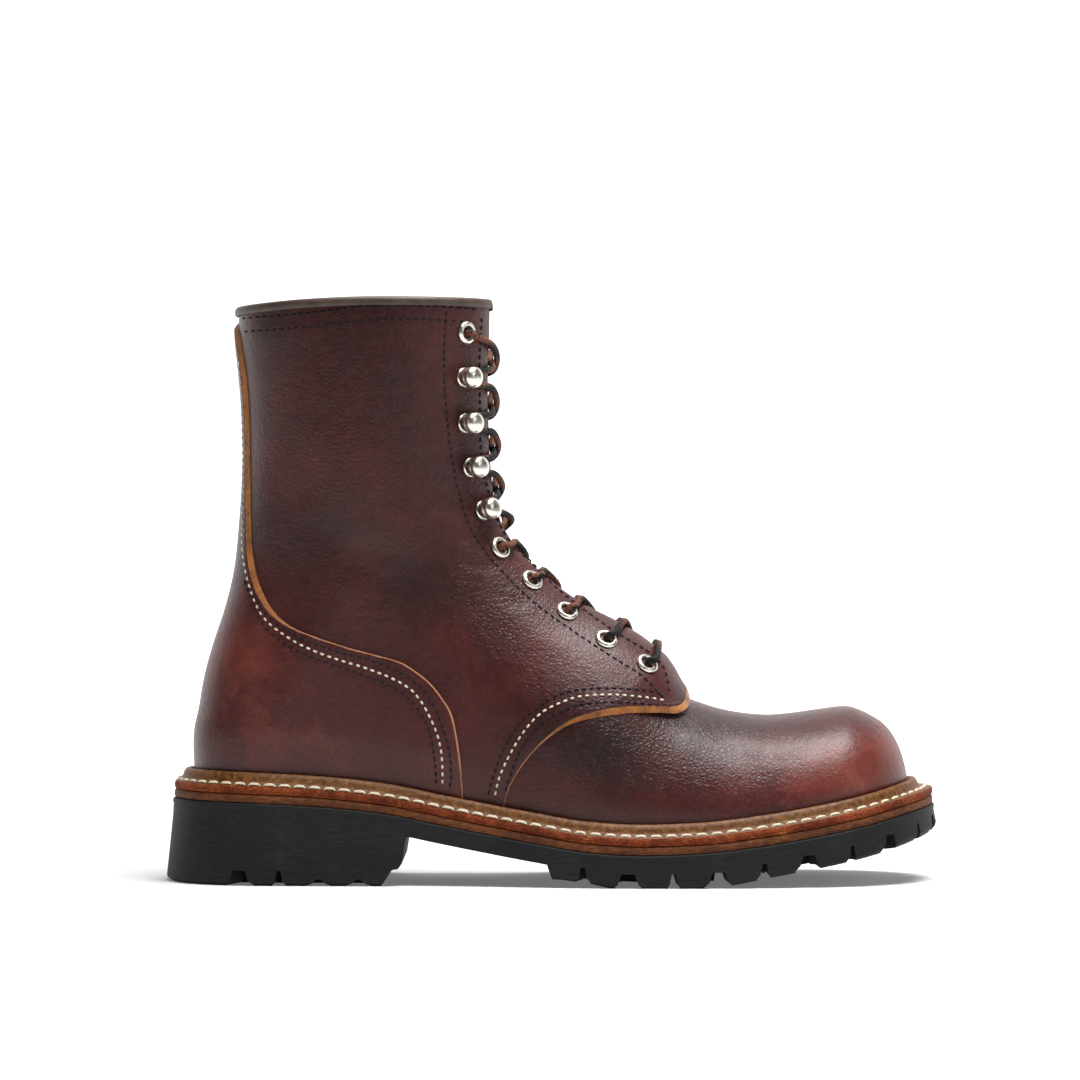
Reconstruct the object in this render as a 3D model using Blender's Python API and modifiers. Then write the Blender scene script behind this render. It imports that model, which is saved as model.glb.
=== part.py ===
# Logger boot, right foot. Metres, +X to the toe, -Y the outer side, +Z up, floor at z = 0.
# One surface function gives the shape of the last, and every leather layer is that surface
# moved along its normals, so the layers follow each other wherever they are cut.
import math

import bmesh
import bpy
import numpy as np
from mathutils import Vector

# Driving sizes of the upper
UPPER_LENGTH = 0.2873
BALL_WIDTH = 0.0990
HEEL_WIDTH = 0.0631
SHAFT_WIDTH = 0.0790
SHAFT_RISE = 0.2060
TOE_RISE = 0.0437
HEEL_CURVE = 0.0215

# Leather layers
VAMP_WALL = 0.0016
QUARTER_STEP = 0.0014
COUNTER_THICKNESS = 0.0016
FLAP_LIFT = 0.0030
TONGUE_THICKNESS = 0.0024
BINDING_HEIGHT = 0.0036
BINDING_THICKNESS = 0.0010
INSOLE_THICKNESS = 0.0030

# Throat and lacing
THROAT_WIDTH = 0.0240
EYELET_OUTER = 0.0094
EYELET_HOLE = 0.0052
BARREL_WALL = 0.0006
EYELET_ROW_INSET = 0.0086
HOOK_BASE = 0.0081
HOOK_BALL = 0.0080
HOOK_STAND = 0.0062
LACE_DIAMETER = 0.0028

# Sole
HEEL_LIFT = 0.0336
MIDSOLE_THICKNESS = 0.0035
WELT_THICKNESS = 0.0034
BEAD_HEIGHT = 0.0053
BEAD_WIDTH = 0.0034
WELT_EXTENSION = 0.0078
OUTSOLE_FLARE = 0.0016
WAIST_RUBBER = 0.0072
HEEL_LENGTH = 0.0975
LUG_DEPTH = 0.0060
LUG_PITCH = 0.0180
LUG_REACH = 0.0230
CENTRE_BARS = 5

# Clearance between neighbouring pieces
GAP = 0.0003

# Places along the boot are shares of the upper's length, from the back of the heel
HEEL_SETBACK = 1.16 * WELT_EXTENSION + 2 * OUTSOLE_FLARE
TOE_SETBACK = 1.34 * WELT_EXTENSION + OUTSOLE_FLARE
X_BACK = HEEL_SETBACK - 0.5 * (HEEL_SETBACK + UPPER_LENGTH + TOE_SETBACK)

# Top of the rubber along the boot: place, height as a share of the heel lift
RUBBER_TOP = [
    (-0.06, 1.003), (0.08, 0.970), (0.18, 0.925), (0.27, 0.842), (0.34, 0.725), (0.41, 0.610),
    (0.48, 0.505), (0.55, 0.410), (0.625, 0.378), (0.70, 0.400), (0.78, 0.475), (0.86, 0.585),
    (0.93, 0.705), (1.00, 0.850), (1.05, 0.945),
]
# Tread surface ahead of the waist: place, height as a share of the heel lift
TREAD_LINE = [
    (-0.06, 0.10), (0.50, 0.10), (0.555, 0.05), (0.590, -0.012), (0.705, -0.012), (0.75, 0.042),
    (0.80, 0.125), (0.86, 0.215), (0.935, 0.350), (1.00, 0.510), (1.05, 0.655),
]
# Back of the upper: share of the shaft rise, set-in as a share of the heel curve
BACK_CURVE = [
    (0.000, 0.00), (0.055, 0.00), (0.105, 0.07), (0.150, 0.17), (0.200, 0.25), (0.245, 0.35),
    (0.290, 0.48), (0.340, 0.64), (0.390, 0.77), (0.440, 0.86), (0.500, 0.92), (0.570, 0.97),
    (0.640, 1.00), (0.700, 0.99), (0.760, 0.96), (0.830, 0.90), (0.880, 0.85), (0.935, 0.84),
]
# Toe and vamp ridge: place, share of the toe rise above the midsole
TOE_CURVE = [
    (1.000, 0.00), (1.001, 0.20), (0.990, 0.49), (0.972, 0.71), (0.948, 0.86), (0.918, 0.98),
    (0.880, 1.01), (0.842, 1.02), (0.800, 1.045), (0.755, 1.115), (0.715, 1.215), (0.680, 1.335),
]
# Instep and throat ridge: place, share of the shaft rise above the midsole
THROAT_CURVE = [
    (0.655, 0.320), (0.630, 0.353), (0.590, 0.396), (0.545, 0.437), (0.500, 0.485),
    (0.462, 0.531), (0.440, 0.568), (0.424, 0.620), (0.416, 0.690), (0.412, 0.775),
    (0.411, 0.865), (0.412, 0.945), (0.413, 1.015),
]
# Collar: share of the way from back to front, share of the shaft rise
COLLAR_LINE = [(0.0, 0.935), (0.10, 0.955), (0.30, 0.990), (0.55, 1.012), (1.0, 1.015)]
# Footprint: place, outer and inner edge as shares of the ball width, middle line, ridge radius
FOOTPRINT = [
    (-0.02, -0.315, 0.305, -0.005, 0.36), (0.12, -0.325, 0.312, -0.005, 0.40),
    (0.28, -0.345, 0.295, -0.015, 0.48), (0.40, -0.390, 0.275, -0.030, 0.54),
    (0.50, -0.455, 0.325, -0.035, 0.58), (0.60, -0.497, 0.425, -0.020, 0.58),
    (0.70, -0.500, 0.492, 0.005, 0.52), (0.80, -0.478, 0.501, 0.025, 0.45),
    (0.90, -0.430, 0.490, 0.050, 0.42), (1.02, -0.370, 0.475, 0.075, 0.42),
]
# Shaft: share of the shaft rise, half width as a share of the shaft width
SHAFT_HALF = [
    (0.00, 0.405), (0.12, 0.425), (0.30, 0.425), (0.42, 0.430), (0.55, 0.455), (0.70, 0.485),
    (0.85, 0.500), (1.05, 0.508),
]
# Vamp seam, outer rows from the welt to the throat: place, height as a share of the shaft rise
VAMP_SEAM = [
    (0.395, -0.20), (0.432, 0.045), (0.447, 0.105), (0.466, 0.150), (0.492, 0.192),
    (0.524, 0.225), (0.560, 0.242), (0.600, 0.250), (0.640, 0.247), (0.668, 0.240),
    (0.680, 0.255), (0.677, 0.300), (0.677, 0.620),
]
# Counter seam from the welt to the collar: place, height as a share of the shaft rise
COUNTER_SEAM = [
    (0.376, 0.003), (0.375, 0.048), (0.371, 0.124), (0.361, 0.195), (0.346, 0.228),
    (0.328, 0.253), (0.307, 0.269), (0.284, 0.280), (0.222, 0.292), (0.173, 0.308),
    (0.136, 0.326), (0.110, 0.352), (0.0915, 0.397), (0.082, 0.457), (0.080, 0.530),
    (0.079, 0.700), (0.075, 0.800), (0.062, 0.905), (0.058, 0.910),
]
# Lacing row up the throat: share of the throat ridge, depth as a share of the row inset, fitting
LACING = [
    (0.040, 0.50, "eyelet"), (0.150, 0.74, "eyelet"), (0.256, 0.70, "eyelet"), (0.359, 0.66, "eyelet"),
    (0.454, 0.73, "eyelet"), (0.536, 0.77, "hook"), (0.629, 1.01, "hook"), (0.726, 1.12, "hook"),
    (0.827, 1.14, "hook"), (0.927, 1.05, "eyelet"),
]

RING_POINTS = 32
THROAT_FOOT = 0.425
ANKLE = 0.42
VAMP_BED = 0.50


def place(share):
    """X of a share of the upper's length."""
    return X_BACK + share * UPPER_LENGTH


def tangents(knots, values):
    """Slopes of a smooth curve through rows, level where the rows turn."""
    steps = np.diff(knots)
    slopes = np.diff(values) / steps
    inner = np.where(slopes[:-1] * slopes[1:] > 0,
                     2 * slopes[:-1] * slopes[1:] / (slopes[:-1] + slopes[1:] + 1e-12), 0.0)
    return np.concatenate([[slopes[0]], inner, [slopes[-1]]])


def through(rows, column, at):
    """Smooth value of a table's column at the given places, without overshoot."""
    table = np.array(rows, dtype=float)
    knots = table[:, 0]
    values = table[:, column]
    slopes = tangents(knots, values)
    at = np.clip(at, knots[0], knots[-1])
    i = np.clip(np.searchsorted(knots, at, side="right") - 1, 0, len(knots) - 2)
    step = knots[i + 1] - knots[i]
    t = (at - knots[i]) / step
    return ((1 + 2 * t) * (1 - t) ** 2 * values[i] + t * (1 - t) ** 2 * step * slopes[i]
            + t * t * (3 - 2 * t) * values[i + 1] + t * t * (t - 1) * step * slopes[i + 1])


def smooth_line(points, count):
    """Even points along a rounded line through a few points."""
    points = np.array(points, dtype=float)
    ends = np.vstack([2 * points[0] - points[1], points, 2 * points[-1] - points[-2]])
    dense = []
    for i in range(1, len(ends) - 2):
        a, b, c, d = ends[i - 1], ends[i], ends[i + 1], ends[i + 2]
        for t in np.linspace(0, 1, 12, endpoint=False):
            dense.append(0.5 * (2 * b + (c - a) * t + (2 * a - 5 * b + 4 * c - d) * t * t
                                + (3 * b - a - 3 * c + d) * t ** 3))
    dense = np.array(dense + [ends[-2]])
    run = np.concatenate([[0], np.cumsum(np.linalg.norm(np.diff(dense, axis=0), axis=1))])
    even = np.linspace(0, run[-1], count)
    return np.stack([np.interp(even, run, dense[:, k]) for k in range(2)], axis=1)


def smoothstep(t):
    t = np.clip(t, 0.0, 1.0)
    return t * t * (3 - 2 * t)


def share_of(x):
    return (np.asarray(x, dtype=float) - X_BACK) / UPPER_LENGTH


def rubber_top(x):
    return HEEL_LIFT * through(RUBBER_TOP, 1, share_of(x))


def bed(x):
    """Top of the midsole, which the upper stands on."""
    return rubber_top(x) + MIDSOLE_THICKNESS


def tread(x):
    return HEEL_LIFT * through(TREAD_LINE, 1, share_of(x))


def throat_row(at, rise):
    """Side-view point of a throat row, whose height counts from the bed under the ankle."""
    here = bed(place(at))
    return place(at), here + rise * SHAFT_RISE - (here - bed(place(ANKLE))) * (1 - rise)


# Outline of the side view: four edges that the rings are blended between
BED_CLEAR = 2 * GAP
BACK_LINE = smooth_line(
    [(X_BACK + inset * HEEL_CURVE, bed(X_BACK) + BED_CLEAR + rise * SHAFT_RISE)
     for rise, inset in BACK_CURVE], 160)
FRONT_LINE = smooth_line(
    [(place(at), bed(place(at)) + BED_CLEAR + rise * TOE_RISE) for at, rise in TOE_CURVE]
    + [throat_row(at, rise) for at, rise in THROAT_CURVE], 260)


def on_line(line, t):
    """Point of an even line at a share of its length, and past its ends in a straight run."""
    at = np.asarray(t, dtype=float) * (len(line) - 1)
    steps = np.arange(len(line))
    inside = np.clip(at, 0, len(line) - 1)
    point = np.stack([np.interp(inside, steps, line[:, k]) for k in range(2)], axis=-1)
    before = np.minimum(at, 0)[..., None] * (line[1] - line[0])
    after = np.maximum(at - (len(line) - 1), 0)[..., None] * (line[-1] - line[-2])
    return point + before + after


def feather_line(s):
    x = BACK_LINE[0, 0] + (FRONT_LINE[0, 0] - BACK_LINE[0, 0]) * s
    return np.stack([x, bed(x) + BED_CLEAR], axis=-1)


def collar_line(s):
    x = BACK_LINE[-1, 0] + (FRONT_LINE[-1, 0] - BACK_LINE[-1, 0]) * s
    low = through(COLLAR_LINE, 1, s)
    start = BACK_LINE[-1, 1]
    end = FRONT_LINE[-1, 1]
    share = (low - COLLAR_LINE[0][1]) / (COLLAR_LINE[-1][1] - COLLAR_LINE[0][1])
    return np.stack([x, start + (end - start) * share], axis=-1)


def side_point(s, v):
    """Side-view point of the last: s from the back to the front, v from the welt to the collar."""
    s = np.asarray(s, dtype=float)
    v = np.asarray(v, dtype=float)
    sv = s[..., None]
    vv = v[..., None]
    back = on_line(BACK_LINE, v)
    front = on_line(FRONT_LINE, v)
    low = feather_line(s)
    high = collar_line(s)
    corners = ((1 - sv) * (1 - vv) * BACK_LINE[0] + sv * (1 - vv) * FRONT_LINE[0]
               + (1 - sv) * vv * BACK_LINE[-1] + sv * vv * FRONT_LINE[-1])
    return (1 - sv) * back + sv * front + (1 - vv) * low + vv * high - corners


def distance_to(line, x, z):
    """Shortest distance from points to a line of straight pieces."""
    px = np.asarray(x)[..., None]
    pz = np.asarray(z)[..., None]
    a = line[:-1]
    d = line[1:] - line[:-1]
    t = ((px - a[:, 0]) * d[:, 0] + (pz - a[:, 1]) * d[:, 1]) / (d ** 2).sum(1)
    t = np.clip(t, 0, 1)
    return np.hypot(px - a[:, 0] - t * d[:, 0], pz - a[:, 1] - t * d[:, 1]).min(-1)


BACK_REACH = np.vstack([on_line(BACK_LINE, -0.2), BACK_LINE, on_line(BACK_LINE, 1.2)])
FRONT_REACH = np.vstack([on_line(FRONT_LINE, -0.2), FRONT_LINE, on_line(FRONT_LINE, 1.2)])


def roundness(distance, radius, power):
    t = np.clip(distance / radius, 0.0, 1.0)
    return (1 - (1 - t) ** power) ** (1 / power)


# How far the heel's width asks the footprint's heel row to grow
HEEL_GROWTH = HEEL_WIDTH / (BALL_WIDTH * (FOOTPRINT[1][2] - FOOTPRINT[1][1]))


def half_side(x, z, side):
    """Y of the last's outer (side -1) or inner (side 1) face at a side-view point."""
    at = share_of(x)
    rise = (z - bed(X_BACK)) / SHAFT_RISE
    column = 1 if side < 0 else 2
    foot = BALL_WIDTH * through(FOOTPRINT, column, at)
    heel = smoothstep((0.45 - at) / 0.25)
    heel_share = 1 + (HEEL_GROWTH - 1) * heel
    leg = side * SHAFT_WIDTH * through(SHAFT_HALF, 1, rise)
    up = smoothstep((rise - 0.08) / 0.40)
    middle = BALL_WIDTH * through(FOOTPRINT, 3, at) * (1 - up)
    edge = foot * heel_share * (1 - up) + leg * up
    tuck = 1 - 0.035 * (1 - smoothstep((z - bed(x)) / (5 * WELT_THICKNESS)))
    front = roundness(distance_to(FRONT_REACH, x, z), BALL_WIDTH * through(FOOTPRINT, 4, at), 2.2)
    back_radius = 0.5 * HEEL_WIDTH + (0.62 * SHAFT_WIDTH - 0.5 * HEEL_WIDTH) * up
    back = roundness(distance_to(BACK_REACH, x, z), back_radius, 2.1)
    return middle + (edge - middle) * tuck * front * back


def last_point(angle, v):
    """Point of the last: angle 0 at the back, pi at the front, outer side first."""
    s = 0.5 * (1 - np.cos(angle))
    flat = side_point(s, v)
    outer = half_side(flat[..., 0], flat[..., 1], -1)
    inner = half_side(flat[..., 0], flat[..., 1], 1)
    y = np.where(np.sin(angle) >= 0, outer, inner)
    return np.stack([flat[..., 0], y, flat[..., 1]], axis=-1)


def last_normal(angle, v):
    """Unit normal out of the last, from small steps along its surface."""
    step_angle = 0.02
    step_v = 0.004
    along = last_point(angle + step_angle, v) - last_point(angle - step_angle, v)
    up = last_point(angle, v + step_v) - last_point(angle, v - step_v)
    out = np.cross(along, up)
    return out / np.linalg.norm(out, axis=-1, keepdims=True)


def skived(point):
    """Share of a lapped layer's full thickness: thin at the welt, full above the bead."""
    height = point[..., 2] - bed(point[..., 0]) - WELT_THICKNESS
    return 0.25 + 0.75 * smoothstep((height - 0.5 * BEAD_HEIGHT) / (4 * BEAD_HEIGHT))


def layer_height(base, laps, lift):
    """How far the lapped layers and the lacing flaps stand off the last at a point."""
    near = distance_to(FRONT_REACH, base[..., 0], base[..., 2])
    at = share_of(base[..., 0])
    ahead = smoothstep((at - 0.50) / 0.14) * (1 - smoothstep((at - 0.71) / 0.05))
    return laps * skived(base) + lift * np.exp(-(near / (0.6 * THROAT_WIDTH)) ** 2) * ahead


def form_point(angle, v, offset, laps=0.0, lift=0.0):
    """Last surface moved out by an offset, by skived laps, and by the lift of the lacing flaps."""
    base = last_point(angle, v)
    amount = offset + layer_height(base, laps, lift)
    return base + last_normal(angle, v) * amount[..., None]


def last_frame(x, z, side):
    """Point of the last at a side-view point, with its unit normal."""
    step = 0.0005
    y = half_side(x, z, side)
    slope_x = (half_side(x + step, z, side) - half_side(x - step, z, side)) / (2 * step)
    slope_z = (half_side(x, z + step, side) - half_side(x, z - step, side)) / (2 * step)
    out = np.array([-slope_x, 1.0, -slope_z]) * side
    return np.array([x, float(y), z]), out / np.linalg.norm(out)


def quarter_point(x, z, side):
    base, out = last_frame(x, z, side)
    return base + out * float(layer_height(base, QUARTER_STEP, FLAP_LIFT))


def side_frame(x, z, side, reach=0.0035):
    """Outer face of the quarters at a side-view point, with its unit normal over a fitting's reach."""
    along = quarter_point(x + reach, z, side) - quarter_point(x - reach, z, side)
    up = quarter_point(x, z + reach, side) - quarter_point(x, z - reach, side)
    out = np.cross(along, up)
    out *= np.sign(out[1]) * side
    return quarter_point(x, z, side), out / np.linalg.norm(out)


def seat_point(spot, out, side):
    """Point on a fitting's axis just clear of the leather that curves up under its base."""
    reach = 0.5 * EYELET_OUTER
    across = np.cross(out, (0.0, 0.0, 1.0))
    across /= np.linalg.norm(across)
    up = np.cross(across, out)
    rise = 0.0
    for turn in np.linspace(0, 2 * math.pi, 12, endpoint=False):
        rim = spot + reach * (across * math.cos(turn) + up * math.sin(turn))
        under = quarter_point(rim[0], rim[2], side)
        if np.linalg.norm(under - rim) < reach:
            rise = max(rise, float((under - spot) @ out))
    return spot + out * rise


# Mesh helpers

COLLECTIONS = {}


def collection(name):
    if name not in COLLECTIONS:
        made = bpy.data.collections.new(name)
        bpy.context.scene.collection.children.link(made)
        COLLECTIONS[name] = made
    return COLLECTIONS[name]


def hex_colour(code):
    """Linear colour of an sRGB code."""
    channels = [int(code[i:i + 2], 16) / 255 for i in (1, 3, 5)]
    linear = [c / 12.92 if c <= 0.04045 else ((c + 0.055) / 1.055) ** 2.4 for c in channels]
    return (*linear, 1.0)


def material(name, code, roughness, metallic=0.0):
    made = bpy.data.materials.new(name)
    made.use_nodes = True
    shader = made.node_tree.nodes["Principled BSDF"]
    shader.inputs["Base Color"].default_value = hex_colour(code)
    shader.inputs["Roughness"].default_value = roughness
    shader.inputs["Metallic"].default_value = metallic
    return made


def add_object(name, mesh, finish=None):
    """A part in the boot's collection, or a hidden cutter when it has no finish."""
    made = bpy.data.objects.new(name, mesh)
    if finish is None:
        collection("cutters").objects.link(made)
        made.hide_render = True
        made.display_type = "WIRE"
        return made
    mesh.materials.clear()
    mesh.materials.append(finish)
    collection("logger_boot").objects.link(made)
    return made


def mesh_from(points, faces, name):
    mesh = bpy.data.meshes.new(name)
    mesh.from_pydata([tuple(p) for p in points], [], faces)
    shaper = bmesh.new()
    shaper.from_mesh(mesh)
    bmesh.ops.recalc_face_normals(shaper, faces=shaper.faces)
    bmesh.ops.triangulate(shaper, faces=shaper.faces)
    shaper.to_mesh(mesh)
    shaper.free()
    return mesh


def loft_closed(rings, name, tube=False):
    """Rings of equal count joined side by side, capped, or closed on themselves as a tube."""
    count = len(rings[0])
    points = [tuple(p) for ring in rings for p in ring]
    faces = []
    last = len(rings) if tube else len(rings) - 1
    for i in range(last):
        low = i * count
        high = ((i + 1) % len(rings)) * count
        for j in range(count):
            k = (j + 1) % count
            faces.append((low + j, low + k, high + k, high + j))
    if not tube:
        faces += ladder(count, 0) + ladder(count, (len(rings) - 1) * count)
    return mesh_from(points, faces, name)


def ladder(count, start):
    """Cap of a ring whose points mirror each other from side to side."""
    faces = [(start, start + 1, start + count - 1)]
    for j in range(1, count // 2 - 1):
        faces.append((start + j, start + j + 1, start + count - j - 1, start + count - j))
    middle = count // 2
    faces.append((start + middle - 1, start + middle, start + middle + 1))
    return faces


def prism(outline, low, high, name):
    """A side-view outline pushed across the boot, as a cutter."""
    count = len(outline)
    points = [(x, low, z) for x, z in outline] + [(x, high, z) for x, z in outline]
    faces = [tuple(range(count)), tuple(range(2 * count - 1, count - 1, -1))]
    faces += [(j, (j + 1) % count, count + (j + 1) % count, count + j) for j in range(count)]
    return add_object(name, mesh_from(points, faces, name))


def boolean(target, cutter, operation):
    step = target.modifiers.new(operation.lower() + "_" + cutter.name, "BOOLEAN")
    step.operation = operation
    step.object = cutter
    step.solver = "EXACT"


def round_shade(target, angle=35):
    target.data.shade_smooth()
    target.data.set_sharp_from_angle(angle=math.radians(angle))


RING_ANGLES = np.linspace(0, 2 * math.pi, RING_POINTS, endpoint=False)
# Rings from the welt to the collar, closer together over the toe
RING_LEVELS = np.array([0.0, 0.03, 0.065, 0.10, 0.14, 0.18, 0.225, 0.28, 0.34, 0.405, 0.47, 0.535,
                        0.60, 0.665, 0.735, 0.805, 0.90, 1.0])


def form_ring(v, offset, laps=0.0, lift=0.0, clamp=False):
    ring = form_point(RING_ANGLES, np.full(len(RING_ANGLES), v), offset, laps, lift)
    if clamp:
        ring[:, 2] = bed(ring[:, 0]) + GAP
    return ring


def form_solid(name, offset, laps=0.0, past=0.05, finish=None):
    """The whole last, grown by an offset and run past both ends."""
    levels = np.concatenate([[-past], RING_LEVELS[1:-1], [1.0 + past]])
    rings = [form_ring(v, offset, laps) for v in levels]
    return add_object(name, loft_closed(rings, name), finish)


# Leather pieces

def vamp_region():
    """Side-view region ahead of the vamp seam, where the quarters don't reach."""
    rows = []
    for at, rise in VAMP_SEAM:
        over = smoothstep(rise / 0.3)
        level = bed(place(at)) * (1 - over) + bed(place(VAMP_BED)) * over
        rows.append((place(at), level + rise * SHAFT_RISE))
    line = smooth_line(rows, 34)
    ahead = place(1.3)
    return [tuple(p) for p in line] + [(ahead, line[-1][1]), (ahead, line[0][1])]


def counter_region():
    """Side-view region behind the counter seam."""
    line = smooth_line([(place(at), bed(place(at)) + rise * SHAFT_RISE) for at, rise in COUNTER_SEAM], 34)
    behind = place(-0.3)
    under = [(x, float(bed(x)) + 2 * GAP) for x in np.linspace(behind, line[0][0], 14)[:-1]]
    return [tuple(p) for p in line] + [(behind, line[-1][1])] + under


def throat_level(share):
    """Level of the front ridge at a share of the throat, from its foot to the collar."""
    return THROAT_FOOT + (1 - THROAT_FOOT) * share


def throat_half(share):
    """Half the throat's opening, narrower towards its foot."""
    return 0.5 * THROAT_WIDTH * (0.76 + 0.24 * smoothstep(share / 0.6))


def throat_cutter():
    """Channel along the front ridge, round at its foot, which opens the lacing."""
    rings = []
    shares = np.concatenate([[0.0, 0.008, 0.025], np.linspace(0.06, 1.12, 17)])
    for share in shares:
        v = throat_level(share)
        ahead = on_line(FRONT_LINE, v + 0.004)
        behind = on_line(FRONT_LINE, v - 0.004)
        along = (ahead - behind) / np.linalg.norm(ahead - behind)
        out = np.array([along[1], -along[0]])
        centre = on_line(FRONT_LINE, v)
        foot = min(1.0, share / 0.06)
        half = throat_half(share) * math.sqrt(max(0.04, 1 - (1 - foot) ** 2))
        top = centre + out * 0.5 * THROAT_WIDTH
        low = centre - out * 0.36 * THROAT_WIDTH
        rings.append([(top[0], -half, top[1]), (top[0], half, top[1]),
                      (low[0], half, low[1]), (low[0], -half, low[1])])
    return add_object("cut_throat", loft_strip(rings, "cut_throat"))


def loft_strip(rings, name):
    """Rings of any section joined end to end, with flat ends."""
    count = len(rings[0])
    points = [tuple(p) for ring in rings for p in ring]
    faces = [tuple(range(count)), tuple(range(len(points) - 1, len(points) - count - 1, -1))]
    for i in range(len(rings) - 1):
        for j in range(count):
            k = (j + 1) % count
            faces.append((i * count + j, i * count + k, (i + 1) * count + k, (i + 1) * count + j))
    return mesh_from(points, faces, name)


def upper(finish, holes):
    """Hollow upper: one wall with the quarters a step above the vamp."""
    outside = [form_ring(v, 0.0, QUARTER_STEP, FLAP_LIFT, clamp=v == 0.0) for v in RING_LEVELS]
    inside = [form_ring(v, -VAMP_WALL, clamp=v == 0.0) for v in RING_LEVELS]
    mesh = loft_closed(outside + inside[::-1], "upper", tube=True)
    made = add_object("upper", mesh, finish)
    core = form_solid("vamp_core", 0.0)
    ahead = prism(vamp_region(), -BALL_WIDTH, BALL_WIDTH, "vamp_step_cut")
    half = throat_half(0.0) + GAP
    between = prism(flap_gap_region(), -half, half, "flap_gap_cut")
    boolean(ahead, between, "UNION")
    boolean(ahead, core, "DIFFERENCE")
    boolean(made, ahead, "DIFFERENCE")
    boolean(made, throat_cutter(), "DIFFERENCE")
    for hole in holes:
        boolean(made, hole, "DIFFERENCE")
    round_shade(made)
    return made


def flap_gap_region():
    """Side-view box around the foot of the throat, from below the ridge to above it."""
    low = bed(place(0.62)) + 0.20 * SHAFT_RISE
    high = bed(place(0.62)) + 0.58 * SHAFT_RISE
    return [(place(0.62), low), (place(0.62), high), (place(0.72), high), (place(0.72), low)]


def heel_counter(finish):
    """Counter and backstay: cut between two grown lasts, behind its seam."""
    made = form_solid("heel_counter", GAP, QUARTER_STEP + COUNTER_THICKNESS, finish=finish)
    inner = form_solid("counter_core", GAP, QUARTER_STEP, past=0.06)
    region = prism(counter_region(), -BALL_WIDTH, BALL_WIDTH, "counter_region_cut")
    boolean(made, inner, "DIFFERENCE")
    boolean(made, region, "INTERSECT")
    round_shade(made)
    return made


def shell_patch(outer, inner, name):
    """Closed solid between two grids of points that match row by row."""
    rows, columns = outer.shape[:2]
    points = list(outer.reshape(-1, 3)) + list(inner.reshape(-1, 3))
    shift = rows * columns
    faces = []
    for i in range(rows - 1):
        for j in range(columns - 1):
            a = i * columns + j
            quad = (a, a + 1, a + columns + 1, a + columns)
            faces.append(quad)
            faces.append(tuple(shift + k for k in quad[::-1]))
    rim = [j for j in range(columns)]
    rim += [i * columns + columns - 1 for i in range(1, rows)]
    rim += [(rows - 1) * columns + j for j in range(columns - 2, -1, -1)]
    rim += [i * columns for i in range(rows - 2, 0, -1)]
    for a, b in zip(rim, rim[1:] + rim[:1]):
        faces.append((a, shift + a, shift + b, b))
    return mesh_from(points, faces, name)


def tongue(finish):
    """Tongue behind the throat, further in at the collar, where it lies loose."""
    angles = RING_ANGLES[RING_POINTS // 2 - 4:RING_POINTS // 2 + 5]
    levels = RING_LEVELS[RING_LEVELS > THROAT_FOOT - 0.10]
    grid_angle, grid_level = np.meshgrid(angles, levels)
    loose = VAMP_WALL + GAP + 4 * GAP * smoothstep((grid_level - THROAT_FOOT) / 0.4)
    outer = form_point(grid_angle, grid_level, -loose)
    inner = form_point(grid_angle, grid_level, -loose - TONGUE_THICKNESS)
    made = add_object("tongue", shell_patch(outer, inner, "tongue"), finish)
    round_shade(made)
    return made


def angle_at_width(v, width, side, offset, laps):
    """Ring angle near the front where the layer is a given width from the middle plane."""
    low, high = 0.5 * math.pi, math.pi
    for _ in range(30):
        middle = 0.5 * (low + high)
        angle = middle if side < 0 else 2 * math.pi - middle
        y = form_point(np.array([angle]), np.array([v]), offset, laps)[0, 1]
        if abs(y) > width:
            low = middle
        else:
            high = middle
    return low


def collar_binding(finish):
    """Strip folded over the top edge, from one side of the throat round to the other."""
    reach = throat_half(1.0) + GAP
    outer_end = angle_at_width(1.0, reach, -1, 0.0, QUARTER_STEP)
    inner_end = angle_at_width(1.0, reach, 1, 0.0, QUARTER_STEP)
    angles = [a if a <= math.pi else a - 2 * math.pi for a in RING_ANGLES]
    angles = sorted(a for a in angles if -inner_end + 0.05 < a < outer_end - 0.05)
    outside = QUARTER_STEP + GAP
    inside = -VAMP_WALL - GAP
    top = GAP + BINDING_THICKNESS
    low = top - BINDING_HEIGHT
    section = [(outside + BINDING_THICKNESS, top - 0.4 * BINDING_THICKNESS),
               (outside + BINDING_THICKNESS, low), (outside, low), (outside, GAP),
               (inside, GAP), (inside, low), (inside - BINDING_THICKNESS, low),
               (inside - BINDING_THICKNESS, top - 0.4 * BINDING_THICKNESS),
               (inside + 0.5 * BINDING_THICKNESS, top), (outside - 0.5 * BINDING_THICKNESS, top)]
    rings = []
    for angle in [-inner_end] + angles + [outer_end]:
        here = last_point(np.array([angle]), np.array([1.0]))[0]
        out = last_normal(np.array([angle]), np.array([1.0]))[0]
        up = here - last_point(np.array([angle]), np.array([0.985]))[0]
        up /= np.linalg.norm(up)
        rings.append([here + out * away + up * rise for away, rise in section])
    made = add_object("collar_binding", loft_strip(rings, "collar_binding"), finish)
    round_shade(made)
    return made


# Sole pieces

def plan_ring(outward, height, angles=None):
    """Ring round the feather edge, moved out level, at a height given by its own place."""
    angles = RING_ANGLES if angles is None else angles
    base = last_point(angles, np.zeros(len(angles)))
    out = last_normal(angles, np.zeros(len(angles)))
    out[:, 2] = 0
    out /= np.linalg.norm(out, axis=1, keepdims=True)
    away = outward(base[:, 0]) if callable(outward) else np.full(len(angles), outward)
    ring = base + out * away[:, None]
    ring[:, 2] = height(ring[:, 0])
    return ring


def stack_at_welt(x):
    """How far the skived layers stand off the last where the bead meets them."""
    at = share_of(x)
    quarter = 0.25 * QUARTER_STEP * (1 - smoothstep((at - 0.52) / 0.06))
    counter = (GAP + 0.25 * COUNTER_THICKNESS) * (1 - smoothstep((at - 0.46) / 0.06))
    return quarter + counter


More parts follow.
